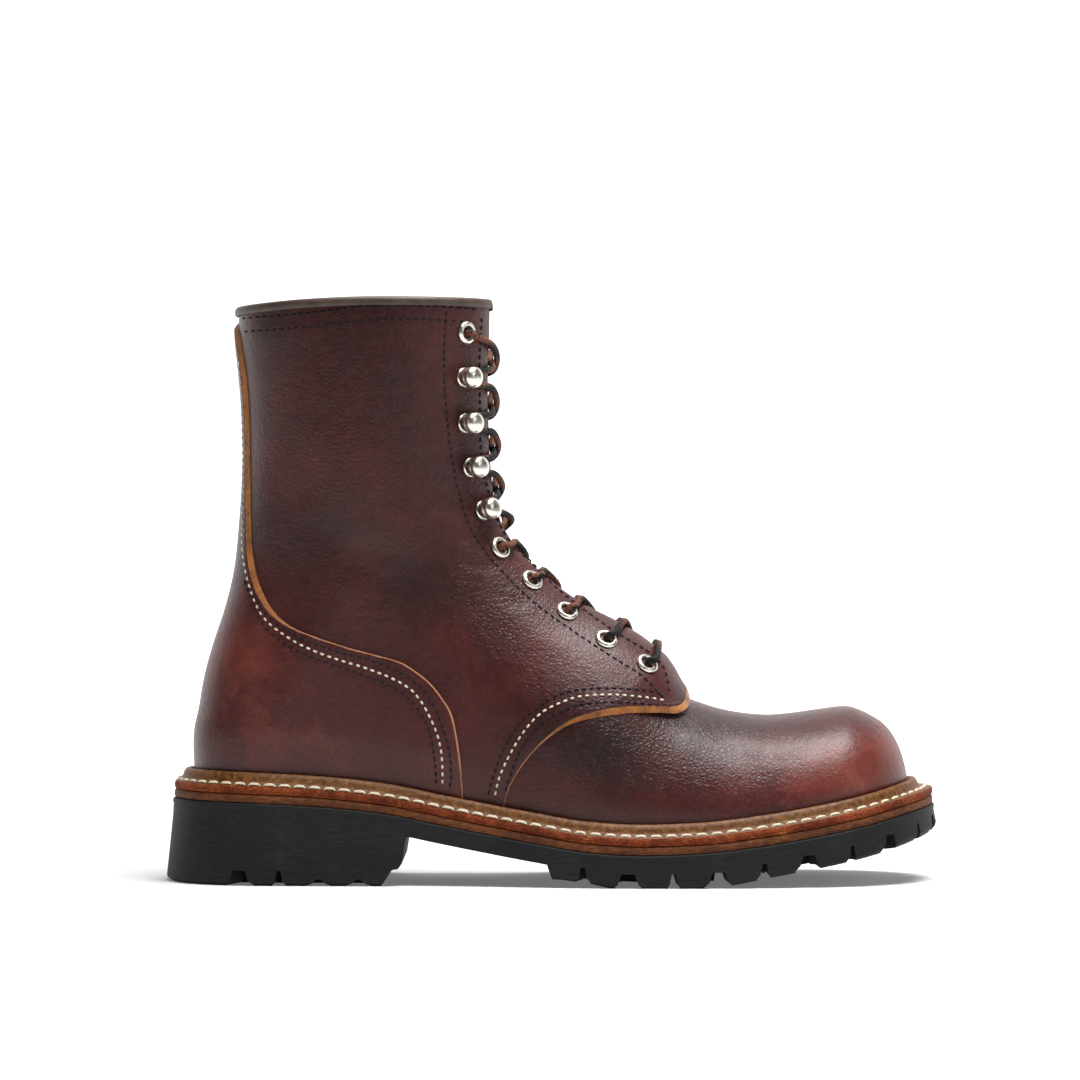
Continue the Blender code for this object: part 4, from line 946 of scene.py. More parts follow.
def front_angle(v, width, side):
    """Ring angle near the front where the last is a given width from the middle plane."""
    low, high = 0.5 * math.pi, math.pi
    for _ in range(26):
        middle = 0.5 * (low + high)
        angle = middle if side < 0 else 2 * math.pi - middle
        y = last_point(np.array([angle]), np.array([v]))[0, 1]
        low, high = (middle, high) if abs(y) > width else (low, middle)
    return low


COLLAR_STEPS = 260


def collar_strip():
    """The folded strip, swept from one side of the throat to the other."""
    reach = throat_half(1.0) + 0.5 * GAP
    ends = [front_angle(1.0, reach, 1), front_angle(1.0, reach, -1)]
    angles = np.linspace(-ends[0], ends[1], COLLAR_STEPS)
    base = last_point(angles, np.ones(COLLAR_STEPS))
    out = last_normal(angles, np.ones(COLLAR_STEPS))
    up = unit(base - last_point(angles, np.full(COLLAR_STEPS, 0.985)))
    outside = QUARTER_STEP + GAP + BINDING_THICKNESS
    inside = -VAMP_WALL - GAP - BINDING_THICKNESS
    top = GAP + BINDING_THICKNESS
    low = top - BINDING_HEIGHT
    section = [(outside - 0.0002, low), (outside + 0.0001, low + 0.0004), (outside + 0.0002, low + 0.0018),
               (outside, top - 0.0008), (outside - 0.0007, top - 0.0001), (outside - 0.0018, top),
               (inside + 0.0012, top), (inside + 0.0003, top - 0.0004), (inside, top - 0.0012), (inside, low),
               (inside + 0.8 * BINDING_THICKNESS, low), (inside + 0.9 * BINDING_THICKNESS, 0.6 * GAP),
               (outside - 0.9 * BINDING_THICKNESS, 0.6 * GAP), (outside - 0.8 * BINDING_THICKNESS, low)]
    rings = [base + out * away + up * rise for away, rise in section]
    points = np.stack(rings, axis=1).reshape(-1, 3)
    faces = strip_faces(COLLAR_STEPS, len(section))
    return mesh_object("collar_binding_strip", points, faces, [binding_leather])


binding = collar_strip()
print("binding points:", len(binding.data.vertices))

# %% [markdown]
# ## Tongue and insole
#
# The tongue is soft leather behind the throat, stitched in at the vamp. It follows the inside of the
# ridge and bows a little between the flaps. The insole is the board that the foot stands on.

# %% Tongue
TONGUE_ROWS = 120
TONGUE_COLUMNS = 60
TONGUE_SPREAD = 0.78


def sheet_between(outer, inner, name, finishes):
    """Closed thin solid between two grids of points that match row by row."""
    rows, columns = outer.shape[:2]
    shift = rows * columns
    faces = []
    for i in range(rows - 1):
        for j in range(columns - 1):
            a = i * columns + j
            quad = (a, a + 1, a + columns + 1, a + columns)
            faces.append(quad)
            faces.append(tuple(shift + k for k in quad[::-1]))
    rim = list(range(columns)) + [i * columns + columns - 1 for i in range(1, rows)]
    rim += [(rows - 1) * columns + j for j in range(columns - 2, -1, -1)]
    rim += [i * columns for i in range(rows - 2, 0, -1)]
    for a, b in zip(rim, rim[1:] + rim[:1]):
        faces.append((b, a, shift + a, shift + b))
    points = np.vstack([outer.reshape(-1, 3), inner.reshape(-1, 3)])
    return mesh_object(name, points, faces, finishes, marks=leather_marks(points))


angle, level = np.meshgrid(
    np.linspace(math.pi - TONGUE_SPREAD, math.pi + TONGUE_SPREAD, TONGUE_COLUMNS),
    np.linspace(THROAT_FOOT - 0.08, 1.0, TONGUE_ROWS))
flat_angle = angle.reshape(-1)
flat_level = level.reshape(-1)
ridge = last_point(flat_angle, flat_level)
out = last_normal(flat_angle, flat_level)
loose = VAMP_WALL + GAP + 4 * GAP * smoothstep((flat_level - THROAT_FOOT) / 0.4)
loose += 0.0016 * smoothstep((flat_level - THROAT_FOOT) / 0.08)
ripple = (0.00025 * np.sin(flat_level * 70 + 2 * np.sin(flat_angle * 3))
          * smoothstep((flat_level - THROAT_FOOT) / 0.2))
tongue_grid = (TONGUE_ROWS, TONGUE_COLUMNS, 3)
outer = (ridge + out * (ripple - loose)[:, None]).reshape(tongue_grid)
inner = (ridge + out * (ripple - loose - TONGUE_THICKNESS)[:, None]).reshape(tongue_grid)
tongue = sheet_between(outer, inner, "tongue_leather_piece", [TONGUE_LEATHER])
print("tongue points:", len(tongue.data.vertices))

# %% [markdown]
# ## Seams
#
# The stitches of a seam lie 3 mm apart in rows, each a short loop of waxed thread whose ends go down
# into the leather. A row is a line drawn on the side of the boot. Points at even steps along it are
# set onto the leather's face, and one small bent capsule is placed at each. All the capsules of one
# thread are joined into one mesh. White rows run between black ones, as on heavy work boots.

# %% A point on the leather's face from its place in the side view
STITCH_PITCH = 0.0030
BLACK_STITCH = 0.0024
BLACK_THICKNESS = 0.00082
WHITE_STITCH = 0.0019
WHITE_THICKNESS = 0.00085
CAPSULE_SIDES = 6
CAPSULE_STEPS = [-1.0, -0.92, -0.55, 0.0, 0.55, 0.92, 1.0]
CAPSULE_WIDTHS = [0.15, 0.62, 0.95, 1.0, 0.95, 0.62, 0.15]
CAPSULE_FACES = (len(CAPSULE_STEPS) - 1) * CAPSULE_SIDES + 2


def face_point(angle, level, over_counter):
    """Point of the outermost leather: the quarters, or the counter on them. Also the way out of it."""
    base = last_point(angle, level)
    out = last_normal(angle, level)
    height = layer_height(base, QUARTER_STEP, FLAP_LIFT) + crease_height(base)
    if over_counter:
        height = height + GAP + COUNTER_THICKNESS * skived(base)
    return base + out * height[:, None], out


def seen_face(side, over_counter):
    """Grid points of one side that the seams may lie on, with their places in the side view."""
    sine = np.sin(GRID["angle"])
    held = np.flatnonzero((-side * sine > 0.045) & (GRID["level"] < 0.999))
    height = QUARTER_TOP[held] + (GAP + COUNTER_THICKNESS * skived(POINT[held]) if over_counter else 0.0)
    spot = POINT[held] + GRID["normal"][held] * height[:, None]
    return held, spot[:, 0], spot[:, 2]


SEEN = {(side, over): seen_face(side, over) for side in (-1, 1) for over in (False, True)}


def on_leather(x, z, side, over_counter=False):
    """Point of the leather that is seen at a place of the side view, found in a few Newton steps."""
    held, seen_x, seen_z = SEEN[(side, over_counter)]
    nearest = held[[int(np.argmin((seen_x - px) ** 2 + (seen_z - pz) ** 2)) for px, pz in zip(x, z)]]
    angle = GRID["angle"][nearest]
    level = GRID["level"][nearest]
    for _ in range(2):
        spot, out = face_point(angle, level, over_counter)
        turned, _ = face_point(angle + 0.01, level, over_counter)
        raised, _ = face_point(angle, level + 0.004, over_counter)
        a, b = (turned - spot)[:, 0] / 0.01, (raised - spot)[:, 0] / 0.004
        c, d = (turned - spot)[:, 2] / 0.01, (raised - spot)[:, 2] / 0.004
        miss_x, miss_z = x - spot[:, 0], z - spot[:, 2]
        scale = a * d - b * c
        scale = np.where(np.abs(scale) < 1e-5, 1e-5, scale)
        angle = angle + np.clip((d * miss_x - b * miss_z) / scale, -0.04, 0.04)
        level = level + np.clip((a * miss_z - c * miss_x) / scale, -0.01, 0.01)
    return face_point(angle, level, over_counter)


def even_places(row, pitch):
    """Places at an even pitch along a row given in millimetres of the side view."""
    line = smooth_line(np.array(row, dtype=float) * 0.001, 400)
    run = run_along(line)
    at = np.arange(0.5 * pitch, run[-1], pitch)
    return np.interp(at, run, line[:, 0]), np.interp(at, run, line[:, 1])


def capsules(centres, along, out, length, thick, lift):
    """Small bent capsules with their ends turned down into the leather."""
    around = np.linspace(0, 2 * math.pi, CAPSULE_SIDES, endpoint=False)
    across = unit(np.cross(out, along))
    rings = []
    for at, width in zip(CAPSULE_STEPS, CAPSULE_WIDTHS):
        middle = centres + along * (0.5 * length * at) + out * (lift - thick * 0.75 * at ** 4)
        for turn in around:
            rim = across * math.cos(turn) + out * 0.85 * math.sin(turn)
            rings.append(middle + rim * 0.5 * thick * width)
    points = np.stack(rings, axis=1).reshape(-1, 3)
    one = strip_faces(len(CAPSULE_STEPS), CAPSULE_SIDES)
    size = len(CAPSULE_STEPS) * CAPSULE_SIDES
    faces = [tuple(k + i * size for k in face) for i in range(len(centres)) for face in one]
    return points, faces


def seam_points(row, over_counter, side, pitch=STITCH_PITCH):
    """Centres, directions and normals of a row's stitches on one side of the boot."""
    x, z = even_places(row, pitch)
    spot, out = on_leather(x, z, side, over_counter)
    along = np.gradient(spot, axis=0)
    along = unit(along - out * (along * out).sum(1)[:, None])
    return spot, along, out


# %% Rows of stitches, in millimetres of the side view
BLACK_ROWS = [
    ([(-125.6, 226.4), (-109.7, 226.6), (-93.8, 227.8), (-78.7, 229.6), (-67.2, 230.2), (-56.1, 230.3),
      (-42.3, 230.0), (-30.0, 229.6)], False),
    ([(-124.5, 221.0), (-109.7, 221.2), (-93.8, 222.4), (-78.7, 224.1), (-67.2, 224.9), (-56.1, 225.1),
      (-42.3, 224.9), (-30.2, 224.4)], False),
    ([(-42.3, 229.0), (-43.1, 207.4), (-41.6, 182.7), (-38.2, 160.4), (-31.7, 140.3), (-19.3, 124.1),
      (-5.7, 111.1), (9.9, 99.9), (25.4, 89.8), (35.8, 83.2), (42.4, 76.4), (45.4, 73.0)], False),
    ([(-28.2, 227.0), (-29.2, 207.9), (-29.0, 193.5), (-28.6, 174.2), (-26.6, 160.6), (-21.6, 144.9),
      (-17.0, 136.9), (-8.1, 128.0), (3.2, 116.8), (16.8, 106.3), (28.1, 98.7), (39.1, 92.1),
      (43.9, 87.3), (46.2, 81.8), (46.6, 77.1)], False),
    ([(-25.5, 35.7), (-23.5, 43.3), (-19.2, 54.6), (-12.4, 65.0), (-3.7, 72.7), (5.0, 77.0),
      (12.6, 78.2), (25.7, 78.5), (38.6, 77.2), (44.9, 75.6)], False),
    ([(-18.8, 37.4), (-16.5, 44.3), (-13.2, 52.9), (-7.3, 61.7), (1.4, 68.4), (10.1, 72.0),
      (21.3, 73.1), (34.2, 72.5), (44.5, 71.2)], False),
    ([(-119.6, 117.0), (-114.0, 107.6), (-100.4, 98.3), (-85.5, 93.0), (-74.9, 90.4), (-64.2, 86.6),
      (-53.8, 80.2), (-47.6, 72.5), (-43.4, 62.2), (-41.0, 53.5), (-40.2, 45.0), (-40.7, 38.4)], True),
    ([(-123.6, 121.6), (-119.2, 109.8), (-113.4, 101.4), (-104.9, 95.1), (-96.0, 90.8), (-85.5, 87.2),
      (-74.9, 83.4), (-64.2, 79.2), (-56.2, 73.3), (-51.8, 67.3), (-48.6, 60.4), (-47.0, 51.9),
      (-46.2, 43.1), (-46.4, 39.6)], True),
]
WHITE_ROWS = [
    ([(-22.9, 35.4), (-20.9, 43.4), (-16.5, 52.9), (-10.5, 62.5), (-3.7, 69.3), (5.0, 73.5),
      (12.5, 75.5), (25.7, 75.8), (38.5, 74.5), (45.7, 73.2)], False),
    ([(-126.4, 210.0), (-125.2, 192.0), (-124.9, 161.4), (-124.9, 145.4), (-124.4, 132.4), (-122.2, 121.6),
      (-118.1, 110.9), (-113.5, 104.6), (-104.9, 98.3), (-96.0, 93.7), (-85.5, 89.8), (-74.9, 86.6),
      (-64.2, 82.5), (-56.6, 78.1), (-52.6, 73.7), (-50.2, 69.9), (-46.2, 61.4), (-44.2, 53.5),
      (-43.6, 44.9), (-43.8, 38.6)], True),
]


def thread_material(name, dark, light):
    """Bonded twisted thread: a dull waxed shine with light and dark along its lay."""
    made, tree, shader = surface(name, Roughness=0.72, IOR=1.5, Specular_IOR_Level=0.25)
    where = add(tree, "TexCoord").outputs["Object"]
    lay = add(tree, "TexNoise", {"Vector": where, "Scale": per_mm(0.5), "Detail": 2.0})
    colour = add(tree, "ValToRGB", {"Fac": lay.outputs["Fac"]}, stops=[(0.35, dark), (0.65, light)])
    link(tree, colour.outputs["Color"], shader, "Base Color")
    bump = add(tree, "Bump", {"Strength": 0.8, "Distance": 0.0001, "Height": lay.outputs["Fac"]})
    link(tree, bump.outputs[0], shader, "Normal")
    return made


BLACK_THREAD = thread_material("waxed_black_thread", "#08090b", "#17171a")
WHITE_THREAD = thread_material("waxed_off_white_thread", "#b9ae94", "#e6dcc6")


def seam_piece(name, rows, finish, length, thick):
    """Every stitch of the given rows, on both sides of the boot, as one piece."""
    points = []
    faces = []
    for row, over_counter in rows:
        for side in (-1, 1):
            spot, along, out = seam_points(row, over_counter, side)
            new_points, new_faces = capsules(spot, along, out, length, thick, 0.22 * thick)
            shift = sum(len(p) for p in points)
            points.append(new_points)
            faces += [tuple(k + shift for k in face) for face in new_faces]
    made = mesh_object(name, np.vstack(points), faces, [finish])
    print(name, "stitches:", len(faces) // CAPSULE_FACES)
    return made


black_seams = seam_piece("black_seams", BLACK_ROWS, BLACK_THREAD, BLACK_STITCH, BLACK_THICKNESS)
white_seams = seam_piece("white_seams", WHITE_ROWS, WHITE_THREAD, WHITE_STITCH, WHITE_THICKNESS)

# %% [markdown]
# ## Welt and midsole
#
# The storm welt is a strip of waxed leather with a raised bead that keeps water out of the seam. Its
# ledge rises a little to the foot of the bead and carries a row of thick stitches. Its section is a few
# points, away from the last and up from the midsole, swept round the footprint.

# %% Materials of the welt and the edges
welt_leather, tree, shader = surface("waxed_welt_leather", Roughness=0.5, IOR=1.5, Specular_IOR_Level=0.22)
# Firm greased strip: even brown with faint streaks drawn along it by the plough that cut the bead
where = add(tree, "TexCoord").outputs["Object"]
streak = add(tree, "TexNoise", {"Vector": where, "Scale": per_mm(1.8), "Detail": 3.0, "Roughness": 0.5})
speck = add(tree, "TexNoise", {"Vector": where, "Scale": per_mm(0.6), "Detail": 2.0})
both = add(tree, "Math", {0: speck.outputs["Fac"], 1: 0.35, 2: streak.outputs["Fac"]},
           operation="MULTIPLY_ADD").outputs[0]
colour = add(tree, "ValToRGB", {"Fac": both}, stops=[(0.45, "#42240e"), (0.68, "#613b19"), (0.95, "#82572b")])
link(tree, colour.outputs["Color"], shader, "Base Color")
bump = add(tree, "Bump", {"Strength": 1.0, "Distance": 0.00012, "Height": speck.outputs["Fac"]})
link(tree, bump.outputs[0], shader, "Normal")


def edge_material(name, stops, grit_mm, depth, roughness):
    """Cut sole leather seen on its edge: fibres in layers along the edge, lightest where they broke."""
    made, tree, shader = surface(name, Roughness=roughness, IOR=1.48, Specular_IOR_Level=0.2)
    where = add(tree, "TexCoord").outputs["Object"]
    flat = add(tree, "VectorMath", {0: where, 1: (0.45, 0.45, 2.2)}, operation="MULTIPLY").outputs[0]
    layers = add(tree, "TexNoise", {"Vector": flat, "Scale": per_mm(grit_mm), "Detail": 5.0,
                                    "Roughness": 0.68})
    broad = add(tree, "TexNoise", {"Vector": where, "Scale": per_mm(9), "Detail": 2.0})
    mixed_height = add(tree, "Math", {0: broad.outputs["Fac"], 1: 0.4, 2: layers.outputs["Fac"]},
                       operation="MULTIPLY_ADD").outputs[0]
    colour = add(tree, "ValToRGB", {"Fac": mixed_height}, stops=stops)
    link(tree, colour.outputs["Color"], shader, "Base Color")
    bump = add(tree, "Bump", {"Strength": 1.0, "Distance": depth, "Height": layers.outputs["Fac"]})
    link(tree, bump.outputs[0], shader, "Normal")
    return made


WELT_EDGE = edge_material(
    "rough_cut_welt_edge",
    [(0.50, "#30130a"), (0.66, "#6b2a10"), (0.82, "#9c4a20"), (0.95, "#d89058")], 0.6, 0.0009, 0.8)
MIDSOLE_EDGE = edge_material(
    "trimmed_midsole_edge",
    [(0.45, "#331a0c"), (0.68, "#572f16"), (0.9, "#7c4a27")], 1.2, 0.00018, 0.62)

# %% Rings round the footprint
RING = 380
RING_ANGLES = np.linspace(0, 2 * math.pi, RING, endpoint=False)


def plan_base(angles):
    """Footprint line and its level outward direction."""
    base = last_point(angles, np.zeros(len(angles)))
    out = last_normal(angles, np.zeros(len(angles)))
    out[:, 2] = 0
    return base, unit(out)


RING_BASE, RING_OUT = plan_base(RING_ANGLES)


def plan_ring(away, height, base=RING_BASE, out=RING_OUT):
    """Ring moved out level from the footprint, at a height given by its own place."""
    ring = base + out * np.broadcast_to(away, len(base))[:, None]
    ring[:, 2] = height(ring[:, 0])
    return ring


def stack_at_welt(x):
    """How thick the lapped layers are where they go under the welt."""
    at = share_of(x)
    quarters = 0.25 * QUARTER_STEP * (1 - smoothstep((at - 0.52) / 0.06))
    return quarters + (GAP + 0.25 * COUNTER_THICKNESS) * (1 - smoothstep((at - 0.46) / 0.06))


def welt_edge(x):
    """How far the welt reaches from the footprint: most at the toe."""
    at = share_of(x)
    wider = 0.16 * smoothstep((0.10 - at) / 0.10) + 0.34 * smoothstep((at - 0.86) / 0.14)
    return WELT_EXTENSION * (1 + wider)


def swept(name, section, top_of, finishes, kinds):
    """Closed band swept round the footprint from a section of (away, height above a line) pairs."""
    rings = [plan_ring(away, lambda x, h=height: top_of(x) + h) for away, height in section]
    points = np.stack(rings, axis=1).reshape(-1, 3)
    faces = strip_faces(RING, len(section), closed=True)
    made = mesh_object(name, points, faces, finishes, kinds * RING)
    print(name, "faces:", len(faces))
    return made


STACK = stack_at_welt(RING_BASE[:, 0])
EDGE = welt_edge(RING_BASE[:, 0])
FOOT = STACK + 1.55 * BEAD_WIDTH
LEDGE = WELT_THICKNESS
welt_section = [
    (STACK + 1.5 * GAP, GAP), (EDGE - 0.0003, GAP), (EDGE, 0.0007), (EDGE + 0.0001, 0.6 * LEDGE),
    (EDGE - 0.0001, 0.9 * LEDGE), (EDGE - 0.0004, LEDGE), (EDGE - 0.35 * (EDGE - FOOT), LEDGE + 0.0005),
    (FOOT + 0.15 * (EDGE - FOOT), LEDGE + 0.0012), (FOOT, LEDGE + 0.0013),
    (STACK + 1.42 * BEAD_WIDTH, LEDGE + 0.0019), (STACK + 1.34 * BEAD_WIDTH, LEDGE + 0.0029),
    (STACK + 1.20 * BEAD_WIDTH, LEDGE + 0.0041), (STACK + 0.98 * BEAD_WIDTH, LEDGE + 0.0050),
    (STACK + 0.72 * BEAD_WIDTH, LEDGE + BEAD_HEIGHT), (STACK + 0.50 * BEAD_WIDTH, LEDGE + 0.0050),
    (STACK + 0.38 * BEAD_WIDTH, LEDGE + 0.0040), (STACK + 0.32 * BEAD_WIDTH, LEDGE + 0.0015),
]
welt_kinds = [0, 1, 1, 1, 1, 0, 0, 0, 0, 0, 0, 0, 0, 0, 0, 0, 0]
welt = swept("storm_welt_strip", welt_section, bed, [welt_leather, WELT_EDGE], welt_kinds)
rings = np.vstack([plan_ring(EDGE - 0.0003, lambda x: rubber_top(x) + GAP),
                   plan_ring(EDGE + 0.0001, lambda x: rubber_top(x) + 0.0007),
                   plan_ring(EDGE + 0.0002, lambda x: rubber_top(x) + 0.5 * MIDSOLE_THICKNESS),
                   plan_ring(EDGE, lambda x: bed(x) - 0.0005),
                   plan_ring(EDGE - 0.0004, bed)])
midsole = mesh_object("midsole_layer", rings, strip_faces(5, RING), [MIDSOLE_EDGE])
insole_board, tree, shader = surface("insole_leather", Roughness=0.75, IOR=1.45)
where = add(tree, "TexCoord").outputs["Object"]
hide = add(tree, "TexNoise", {"Vector": where, "Scale": per_mm(3), "Detail": 5.0})
colour = add(tree, "ValToRGB", {"Fac": hide.outputs["Fac"]}, stops=[(0.3, "#8f6a42"), (0.7, "#b98f60")])
link(tree, colour.outputs["Color"], shader, "Base Color")
inset = -VAMP_WALL - 3 * GAP
rings = np.vstack([plan_ring(inset, lambda x: bed(x) + GAP),
                   plan_ring(inset, lambda x: bed(x) + GAP + 0.8 * INSOLE_THICKNESS),
                   plan_ring(inset - 0.0006, lambda x: bed(x) + GAP + INSOLE_THICKNESS)])
insole = mesh_object("insole_board_piece", rings, strip_faces(3, RING), [insole_board])

# %% Thick stitches along the ledge
WELT_PITCH = 0.0060
WELT_STITCH = 0.0052
WELT_THREAD = 0.0013


def welt_stitches():
    """One thick stitch every few millimetres, all round the ledge."""
    away = FOOT + 0.42 * (EDGE - FOOT)
    line = plan_ring(away, lambda x: bed(x) + LEDGE + 0.0008)
    closed = np.vstack([line, line[:1]])
    run = run_along(closed)
    at = np.arange(0, run[-1], WELT_PITCH)
    spot = np.stack([np.interp(at, run, closed[:, k]) for k in range(3)], axis=1)
    ahead = np.stack([np.interp((at + 0.001) % run[-1], run, closed[:, k]) for k in range(3)], axis=1)
    along = unit(ahead - spot)
    out = unit(np.cross(along, np.cross((0.0, 0.0, 1.0), along)))
    points, faces = capsules(spot, along, out, WELT_STITCH, WELT_THREAD, 0.0002)
    return mesh_object("welt_stitches", points, faces, [WHITE_THREAD])


welt_seam = welt_stitches()
print("welt stitches:", len(welt_seam.data.polygons) // CAPSULE_FACES)

# %% [markdown]
# ## Rubber sole
#
# The lugged sole is one moulding with a separate heel block under it. Both are a stack of rings round
# the footprint. The slots are cut with a Boolean: one cutter mesh of small tapered boxes, placed at an
# even pitch along the edge, wide and narrow by turns, as moulders space them.

# %% Rubber
lug_rubber, tree, shader = surface("moulded_rubber", Roughness=0.66, IOR=1.52, Specular_IOR_Level=0.28)
# Carbon-black rubber from a blasted mould: nearly black, matt, with a very fine grit and a little dust
where = add(tree, "TexCoord").outputs["Object"]
grit = add(tree, "TexNoise", {"Vector": where, "Scale": per_mm(0.5), "Detail": 3.0, "Roughness": 0.7})
dust = add(tree, "TexNoise", {"Vector": where, "Scale": per_mm(14), "Detail": 4.0})
drawn = add(tree, "VectorMath", {0: where, 1: (0.25, 0.25, 2.0)}, operation="MULTIPLY").outputs[0]
buffed = add(tree, "TexNoise", {"Vector": drawn, "Scale": per_mm(1.6), "Detail": 4.0, "Roughness": 0.7})
both = add(tree, "Math", {0: dust.outputs["Fac"], 1: 0.5, 2: buffed.outputs["Fac"]},
           operation="MULTIPLY_ADD").outputs[0]
colour = add(tree, "ValToRGB", {"Fac": both}, stops=[(0.5, "#090a0b"), (0.75, "#0f1112"), (0.95, "#1a1d1e")])
link(tree, colour.outputs["Color"], shader, "Base Color")
fine = add(tree, "Bump", {"Strength": 1.0, "Distance": 0.00008, "Height": grit.outputs["Fac"]})
coarse = add(tree, "Bump", {"Strength": 1.0, "Distance": 0.00015, "Height": buffed.outputs["Fac"],
                            "Normal": fine.outputs[0]})
link(tree, coarse.outputs[0], shader, "Normal")

# %% Cutters for the tread


def hidden_cutter(name, points, faces):
    """A cutter object that is removed once its Boolean is applied."""
    mesh = bpy.data.meshes.new(name)
    mesh.from_pydata([tuple(p) for p in points], [], faces)
    shaper = bmesh.new()
    shaper.from_mesh(mesh)
    bmesh.ops.recalc_face_normals(shaper, faces=shaper.faces)
    shaper.to_mesh(mesh)
    shaper.free()
    made = bpy.data.objects.new(name, mesh)
    bpy.context.scene.collection.objects.link(made)
    return made


def cut(target, cutter, operation="DIFFERENCE"):
    """Apply one Boolean at once and remove its cutter."""
    step = target.modifiers.new("cut", "BOOLEAN")
    step.operation = operation
    step.solver = "EXACT"
    step.object = cutter
    bpy.context.view_layer.update()
    evaluated = target.evaluated_get(bpy.context.evaluated_depsgraph_get())
    mesh = bpy.data.meshes.new_from_object(evaluated)
    target.modifiers.clear()
    target.data = mesh
    bpy.data.objects.remove(cutter)


def side_prism(name, outline, half=BALL_WIDTH):
    """A side-view outline pushed across the boot."""
    count = len(outline)
    points = [(x, -half, z) for x, z in outline] + [(x, half, z) for x, z in outline]
    faces = [tuple(range(count)), tuple(range(2 * count - 1, count - 1, -1))]
    faces += [(j, (j + 1) % count, count + (j + 1) % count, count + j) for j in range(count)]
    return hidden_cutter(name, points, faces)


BOX_CORNERS = [(a, b, c) for a in (0, 1) for b in (-1, 1) for c in (0, 1)]
BOX_FACES = [(0, 1, 3, 2), (4, 6, 7, 5), (0, 4, 5, 1), (2, 3, 7, 6), (0, 2, 6, 4), (1, 5, 7, 3)]


# Slot kinds: half width at the roof, at the shoulder and at the floor (mm), height as a share of a lug's
SLOT_KINDS = {"wide": (2.6, 4.0, 6.0, 1.0), "narrow": (0.8, 1.6, 2.9, 1.0), "scallop": (0.9, 2.8, 5.0, 0.45)}


def slots(name, first, stop, kinds, low_at, reach, pitch):
    """Tapered slots with chamfered mouths along both edges of the tread, in a repeating order of kinds."""
    points = []
    faces = []
    for side in (-1, 1):
        around = np.linspace(0, math.pi, 361) * -side
        base, out = plan_base(around)
        edge = plan_ring(welt_edge(base[:, 0]) + OUTSOLE_FLARE, tread, base, out)
        inside = plan_ring(welt_edge(base[:, 0]) - OUTSOLE_FLARE, tread, base, out)
        run = np.concatenate([[0], np.cumsum(np.hypot(np.diff(edge[:, 0]), np.diff(edge[:, 1])))])
        end = min(run[-1] - 0.55 * pitch, np.interp(stop, edge[:, 0], run))
        for i, distance in enumerate(np.arange(np.interp(first, edge[:, 0], run), end, pitch)):
            spot = np.array([np.interp(distance, run, edge[:, k]) for k in range(2)])
            inward = unit(np.array([np.interp(distance, run, inside[:, k]) for k in range(2)]) - spot)
            along = np.array([-inward[1], inward[0]])
            toe = float(smoothstep((share_of(spot[0]) - 0.80) / 0.15))
            roof, shoulder, mouth, tall = SLOT_KINDS[kinds[i % len(kinds)]]
            low = low_at(spot[0])
            section = [(-mouth, low - LUG_DEPTH), (-mouth, low), (-shoulder, low + 0.34 * tall * LUG_DEPTH),
                       (-roof, low + tall * LUG_DEPTH)]
            section += [(-across, height) for across, height in reversed(section)]
            start = len(points)
            for away in (-4 * OUTSOLE_FLARE, reach * (1 - 0.55 * toe)):
                for across, height in section:
                    where = spot + inward * away + along * across * 0.001 * (1 - 0.30 * toe)
                    points.append((where[0], where[1], height))
            faces += [tuple(start + k for k in face) for face in strip_faces(2, len(section))]
    return hidden_cutter(name, points, faces)


def groove():
    """Groove parallel to the edge, which parts the edge lugs from the middle ones."""
    angles = np.linspace(0.56 * math.pi, 1.44 * math.pi, 60)
    base, out = plan_base(angles)
    width = 0.22 * LUG_PITCH
    outer = plan_ring(welt_edge(base[:, 0]) - LUG_REACH + 0.5 * width, tread, base, out)
    inner = plan_ring(welt_edge(base[:, 0]) - LUG_REACH - 0.5 * width, tread, base, out)
    points = []
    for a, b in zip(outer, inner):
        points += [(a[0], a[1], -LUG_DEPTH), (a[0], a[1], a[2] + LUG_DEPTH),
                   (b[0], b[1], b[2] + LUG_DEPTH), (b[0], b[1], -LUG_DEPTH)]
    return hidden_cutter("groove", points, strip_faces(60, 4))


def centre_bars():
    """Gaps across the middle of the forefoot, which leave bars of tread."""
    points = []
    faces = []
    for i in range(5):
        x = place(0.585) + 1.2 * LUG_PITCH * i
        half = 0.5 * BALL_WIDTH - 0.72 * LUG_REACH
        start = len(points)
        for depth, across, top in BOX_CORNERS:
            lean = 0.14 * LUG_PITCH + (0.0 if top else 0.10 * LUG_PITCH)
            points.append((x + (lean if depth else -lean), across * half,
                           float(tread(x)) + LUG_DEPTH if top else -LUG_DEPTH))
        faces += [tuple(start + k for k in face) for face in BOX_FACES]
    return hidden_cutter("centre_bars", points, faces)


# %% Outsole
flare = OUTSOLE_FLARE
rings = np.vstack([
    plan_ring(EDGE + flare - 0.25 * LUG_DEPTH, tread),
    plan_ring(EDGE + flare - 0.04 * LUG_DEPTH, lambda x: tread(x) + 0.2 * LUG_DEPTH),
    plan_ring(EDGE + flare, lambda x: tread(x) + 0.4 * LUG_DEPTH),
    plan_ring(EDGE + 0.35 * flare, lambda x: rubber_top(x) - 0.0022),
    plan_ring(EDGE + 0.50 * flare, lambda x: rubber_top(x) - 0.0014),
    plan_ring(EDGE + 0.40 * flare, lambda x: rubber_top(x) - 0.0004),
    plan_ring(EDGE, rubber_top)])
outsole = mesh_object("lugged_outsole", rings, strip_faces(7, RING), [lug_rubber], sharp=35)
step = place(0.492)
under = [(x, float(rubber_top(x)) - WAIST_RUBBER) for x in np.linspace(place(-0.2), step, 40)]
